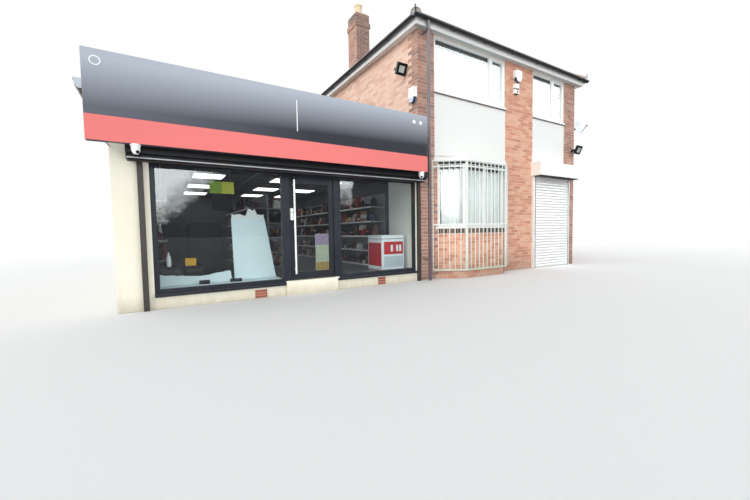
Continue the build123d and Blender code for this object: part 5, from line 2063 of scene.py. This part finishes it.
@dataclass
class Fixtures:
    """Cameras, alarm boxes, lamps and the dish."""

    alarm_lens_top: float = 3.86
    lamp_least_area: float = 0.019
    lamp_middle: float = 1.0
    lamp_lens_share: float = 0.64
    lamp_lens_sheet: Plan = (0.0005, 0.003)
    rose: float = 0.060
    lens_depth: float = 0.098
    lens_out: float = 0.040
    lens_radius: float = 0.014
    lens_rim: float = 0.006
    lens_tilt: float = -0.5
    lens_turns: Plan = (0.5, -0.6)
    rim_ends: Plan = (-0.006, 0.005)
    lens_ends: Plan = (0.004, 0.008)
    lens_sides: int = 20
    sensor_above: Plan = (1.0, 4.74)
    slot_inset: float = 0.02
    slot_levels: Plan = (0.085, 0.102)
    slot_sheet: Plan = (0.003, 0.0003)
    eye_level: float = 0.04
    eye_reach: float = 0.014
    eye_radii: Plan = (0.024, 0.016)

    def build(self) -> None:
        """Dress the fixtures and set their lenses."""
        dress(WHITE_FRAME, "security_cameras", "alarm_boxes", bevel=0.004)
        dress(BLACK_PAINT_AND_HOLE_SHADE, "floodlights", bevel=0.003)
        dress(GALVANISED, "satellite_dish")
        dress(CLAY_POT, "chimney_pot")
        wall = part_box("house_left_wall")[0].x
        paint("alarm_boxes", ALARM_DARK, faces_down)
        paint("alarm_boxes", LENS_BLUE, lambda centre, normal: (
            centre.x < wall and centre.z < self.alarm_lens_top and not faces_down(centre, normal)))
        self.camera_lenses()
        self.sensor_lens()
        self.lamp_lenses()

    def lamp_lenses(self) -> None:
        """Set a small pale lens in the black face of each lamp."""
        mesh = frame["nodes"]["floodlights"].data
        faces = [face for face in mesh.polygons if face.area > self.lamp_least_area
                 and face.normal.y < -0.5 and face.normal.z < 0]
        draft = Draft()
        for side in (-1, 1):
            own = [face for face in faces if (face.center.x - self.lamp_middle) * side > 0]
            used = sorted({index for face in own for index in face.vertices})
            rim = [mesh.vertices[index].co for index in used]
            normal = own[0].normal
            centre = sum(rim, Vector()) / len(rim)
            across = normal.cross(Vector((0, 0, 1))).normalized()
            up = across.cross(normal)
            arms = sorted((corner - centre for corner in rim),
                          key=lambda arm: math.atan2(arm.dot(up), arm.dot(across)))
            draft.loft([[tuple(centre + arm * self.lamp_lens_share + normal * out) for arm in arms]
                        for out in self.lamp_lens_sheet], smooth=False)
        draft.make("lamp_lenses", [LENS_PALE], slot="glass")

    def camera_lenses(self) -> None:
        """Set a black lens in the cone of each camera, turned to the forecourt."""
        low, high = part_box("security_cameras")
        y = (low.y + high.y) / 2
        draft = Draft()
        for x, side in zip((low.x + self.rose, high.x - self.rose), self.lens_turns):
            flat = Vector((side, -math.sqrt(1 - side * side), 0))
            facing = (flat + Vector((0, 0, self.lens_tilt))).normalized()
            seat = Vector((x, y, high.z - self.lens_depth)) + flat * self.lens_out
            for ends, radius, slot in ((self.rim_ends, self.lens_radius + self.lens_rim, 1),
                                       (self.lens_ends, self.lens_radius, 0)):
                back, front = (tuple(seat + facing * end) for end in ends)
                draft.tube(back, front, radius, self.lens_sides, slot=slot)
        draft.make("camera_lenses", [LENS_BLACK, DARK_PLASTIC_AND_SLOT_SHADE], slot="black_plastic")

    def sensor_lens(self) -> None:
        """Set the dark slot and the round lens on the sensor of the middle pier."""
        right_of, below = self.sensor_above
        verts = [v for v in corners("alarm_boxes") if v.x > right_of and v.z < below]
        x0, x1 = min(v.x for v in verts), max(v.x for v in verts)
        front, foot = min(v.y for v in verts), min(v.z for v in verts)
        x, level = (x0 + x1) / 2, foot + self.eye_level
        draft = Draft()
        draft.box((x0 + self.slot_inset, front - self.slot_sheet[0], foot + self.slot_levels[0]),
                  (x1 - self.slot_inset, front - self.slot_sheet[1], foot + self.slot_levels[1]))
        draft.tube((x, front, level), (x, front - self.eye_reach, level), self.eye_radii[0],
                   self.lens_sides, end_radius=self.eye_radii[1])
        draft.make("sensor_lens", [LENS_BLACK], slot="black_plastic")


@dataclass
class Studio:
    """The pale floor, the soft light and the camera at the photograph's viewing angle."""

    camera_at: Point = (-4.798, -5.94, 1.06)
    yaw: float = 31.45
    pitch: float = 3.04
    roll: float = 0.93
    focal_pixels: float = 346.4
    image_width: float = 750.0
    sensor: float = 36.0
    far_clip: float = 500.0
    floor_reach: float = 120.0
    floor_drop: float = 0.002
    floor_seen: Colour = (0.82, 0.82, 0.82, 1.0)
    floor_bounced: Colour = (0.62, 0.62, 0.61, 1.0)
    floor_reflected: Colour = (0.05, 0.05, 0.055, 1.0)
    floor_fade: Plan = (7.0, 22.0)
    white: Colour = (1.0, 1.0, 1.0, 1.0)
    sun_from: Point = (-0.80, -0.50, 0.52)
    sun_strength: float = 0.98
    sun_spread: float = 40.0
    sun_colour: Point = (1.0, 0.98, 0.94)
    sky_colour: Colour = (0.95, 0.98, 1.0, 1.0)
    sky_strength: float = 0.66
    sky_left_gain: float = 0.62
    horizon_gain: float = 0.60
    horizon_top: float = 0.7
    shine_strength: float = 4.4
    shine_dark: Colour = (0.02, 0.021, 0.023, 1.0)
    shine_bright: Colour = (0.94, 0.98, 1.0, 1.0)
    block_start: Plan = (0.0, 0.16)
    block_height: float = 0.15
    gap_middle: float = 0.435
    gap_edge: Plan = (0.034, 0.026)
    gap_depth: float = 0.6
    twig_scale: float = 40.0
    twig_detail: float = 7.0
    twig_roughness: float = 0.75
    twig_height: float = 0.14
    skyline_edge: Plan = (-0.05, 0.03)
    fill_at: Point = (-2.9, -3.2, 0.75)
    fill_from: Point = (0.0, -1.0, 0.08)
    fill_size: Plan = (0.7, 5.0)
    fill_power: float = 46.0

    def build(self) -> None:
        """Set the stage."""
        self.floor()
        self.world()
        self.sun()
        self.fill()
        self.camera()
        bpy.context.scene.view_settings.view_transform = "Standard"

    @staticmethod
    def seen_through(rays: bpy.types.bpy_prop_collection, graph: Graph) -> Socket:
        """Give 1 for rays that are reflected or pass through glass."""
        return graph.maths("MAXIMUM", rays["Is Glossy Ray"], rays["Is Transmission Ray"])

    def floor(self) -> None:
        """Lay a wide floor: pale to the camera, greyer as bounced light, dark in reflections.

        To the camera it fades into the white of the sky far from the building.
        """
        mesh = bpy.data.meshes.new("studio_floor")
        signs = ((-1, -1), (1, -1), (1, 1), (-1, 1))
        mesh.from_pydata([(x * self.floor_reach, y * self.floor_reach, 0) for x, y in signs], [],
                         [(0, 1, 2, 3)])
        floor = put("studio_floor", mesh)
        floor.location = (0, 0, -self.floor_drop)
        material = bpy.data.materials.new("studio_floor")
        material.use_nodes = True
        graph = Graph(material.node_tree)
        shader = material.node_tree.nodes["Principled BSDF"]
        rays = graph.add("LightPath").outputs
        tone = graph.mix(rays["Is Camera Ray"], self.floor_bounced, self.floor_seen)
        tone = graph.mix(self.seen_through(rays, graph), tone, self.floor_reflected)
        graph.fill(shader, Base_Color=tone, Roughness=0.9, Specular_IOR_Level=0.1)
        distance = graph.add("VectorMath")
        distance.operation = "DISTANCE"
        graph.feed(distance, 0, graph.where(Coordinate.OBJECT))
        far = graph.ramp(distance.outputs["Value"], *self.floor_fade)
        share = graph.maths("MULTIPLY", far, rays["Is Camera Ray"])
        glow = graph.add("Emission", Color=self.white, Strength=1.0)
        graph.show(graph.blend(share, shader, glow))
        mesh.materials.append(material)

    def world(self) -> None:
        """Light everything from a soft sky that is brighter on the left and at the horizon.

        The camera sees it plain white, and reflections show an uneven dark skyline before it.
        """
        world = bpy.data.worlds.new("sky")
        bpy.context.scene.world = world
        world.use_nodes = True
        graph = Graph(world.node_tree)
        direction = graph.where(Coordinate.GENERATED)
        x, _, z = graph.split(direction)
        off_gap = graph.maths("ABSOLUTE", graph.maths("SUBTRACT", x, self.gap_middle))
        gap = graph.maths("MULTIPLY", graph.ramp(off_gap, *self.gap_edge), self.gap_depth)
        block = graph.maths("SUBTRACT", graph.ramp(x, *self.block_start), gap)
        twigs = graph.noise(direction, self.twig_scale, self.twig_detail, self.twig_roughness)
        height = graph.maths("ADD", graph.maths("MULTIPLY", block, self.block_height),
                             graph.maths("MULTIPLY", twigs, self.twig_height))
        above = graph.ramp(graph.maths("SUBTRACT", z, height), *self.skyline_edge)
        seen = graph.mix(above, self.shine_dark, self.shine_bright)
        level = graph.maths("MULTIPLY_ADD", graph.ramp(z, self.horizon_top, 0.0), self.horizon_gain,
                            self.sky_strength)
        level = graph.maths("MULTIPLY_ADD", graph.ramp(x, 0.0, -1.0), self.sky_left_gain, level)
        soft = graph.add("Background", Color=self.sky_colour, Strength=level)
        shine = graph.add("Background", Color=seen, Strength=self.shine_strength)
        white = graph.add("Background", Color=self.white, Strength=1.0)
        rays = graph.add("LightPath").outputs
        lit = graph.blend(self.seen_through(rays, graph), soft, shine)
        graph.show(graph.blend(rays["Is Camera Ray"], lit, white), Output.WORLD)

    def sun(self) -> None:
        """Add one wide, soft sun from the front left."""
        lamp = bpy.data.lights.new("soft_sun", "SUN")
        lamp.energy = self.sun_strength
        lamp.angle = math.radians(self.sun_spread)
        lamp.color = self.sun_colour
        sun = put("soft_sun", lamp)
        sun.rotation_mode = "QUATERNION"
        sun.rotation_quaternion = Vector(self.sun_from).to_track_quat("Z", "Y")

    def fill(self) -> None:
        """Add a low, wide panel of soft light in front, which shows in no reflection."""
        lamp = bpy.data.lights.new("soft_fill", "AREA")
        lamp.shape = "RECTANGLE"
        lamp.size, lamp.size_y = self.fill_size
        lamp.energy = self.fill_power
        panel = put("soft_fill", lamp)
        panel.location = self.fill_at
        panel.rotation_mode = "QUATERNION"
        panel.rotation_quaternion = Vector(self.fill_from).to_track_quat("Z", "X")
        panel.visible_camera = panel.visible_glossy = panel.visible_transmission = False
        unlit = bpy.data.collections.new("unlit_by_fill")
        unlit.objects.link(bpy.data.objects["studio_floor"])
        panel.light_linking.receiver_collection = unlit
        unlit.collection_objects[0].light_linking.link_state = "EXCLUDE"

    def camera(self) -> None:
        """Place the camera as the photograph has it."""
        data = bpy.data.cameras.new("camera")
        data.sensor_width = self.sensor
        data.sensor_fit = "HORIZONTAL"
        data.lens = self.focal_pixels / self.image_width * self.sensor
        data.clip_end = self.far_clip
        yaw, pitch, roll = (math.radians(angle) for angle in (self.yaw, self.pitch, self.roll))
        forward = Vector((math.sin(yaw) * math.cos(pitch), math.cos(yaw) * math.cos(pitch),
                          -math.sin(pitch)))
        level = Vector((math.cos(yaw), -math.sin(yaw), 0))
        down = forward.cross(level)
        across = level * math.cos(roll) + down * math.sin(roll)
        below = level * -math.sin(roll) + down * math.cos(roll)
        turn = Matrix((across, -below, -forward)).transposed().to_4x4()
        camera = put("camera", data)
        camera.matrix_world = Matrix.Translation(self.camera_at) @ turn
        bpy.context.scene.camera = camera


def main() -> None:
    """Build every sub-assembly in order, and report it."""
    parts = (Studio(), Brickwork(), HouseRoof(), RainGoods(), HouseWindows(), ShopShell(),
             Shopfront(), Sign(), ShopInterior(), Fixtures())
    for part in parts:
        before = set(bpy.data.objects)
        part.build()
        for piece in sorted(o.name for o in set(bpy.data.objects) - before if o.type == "MESH"):
            LOG.info("%s made %s", type(part).__name__, piece)


if __name__ == "__main__":
    logging.basicConfig(level=logging.INFO)
    main()
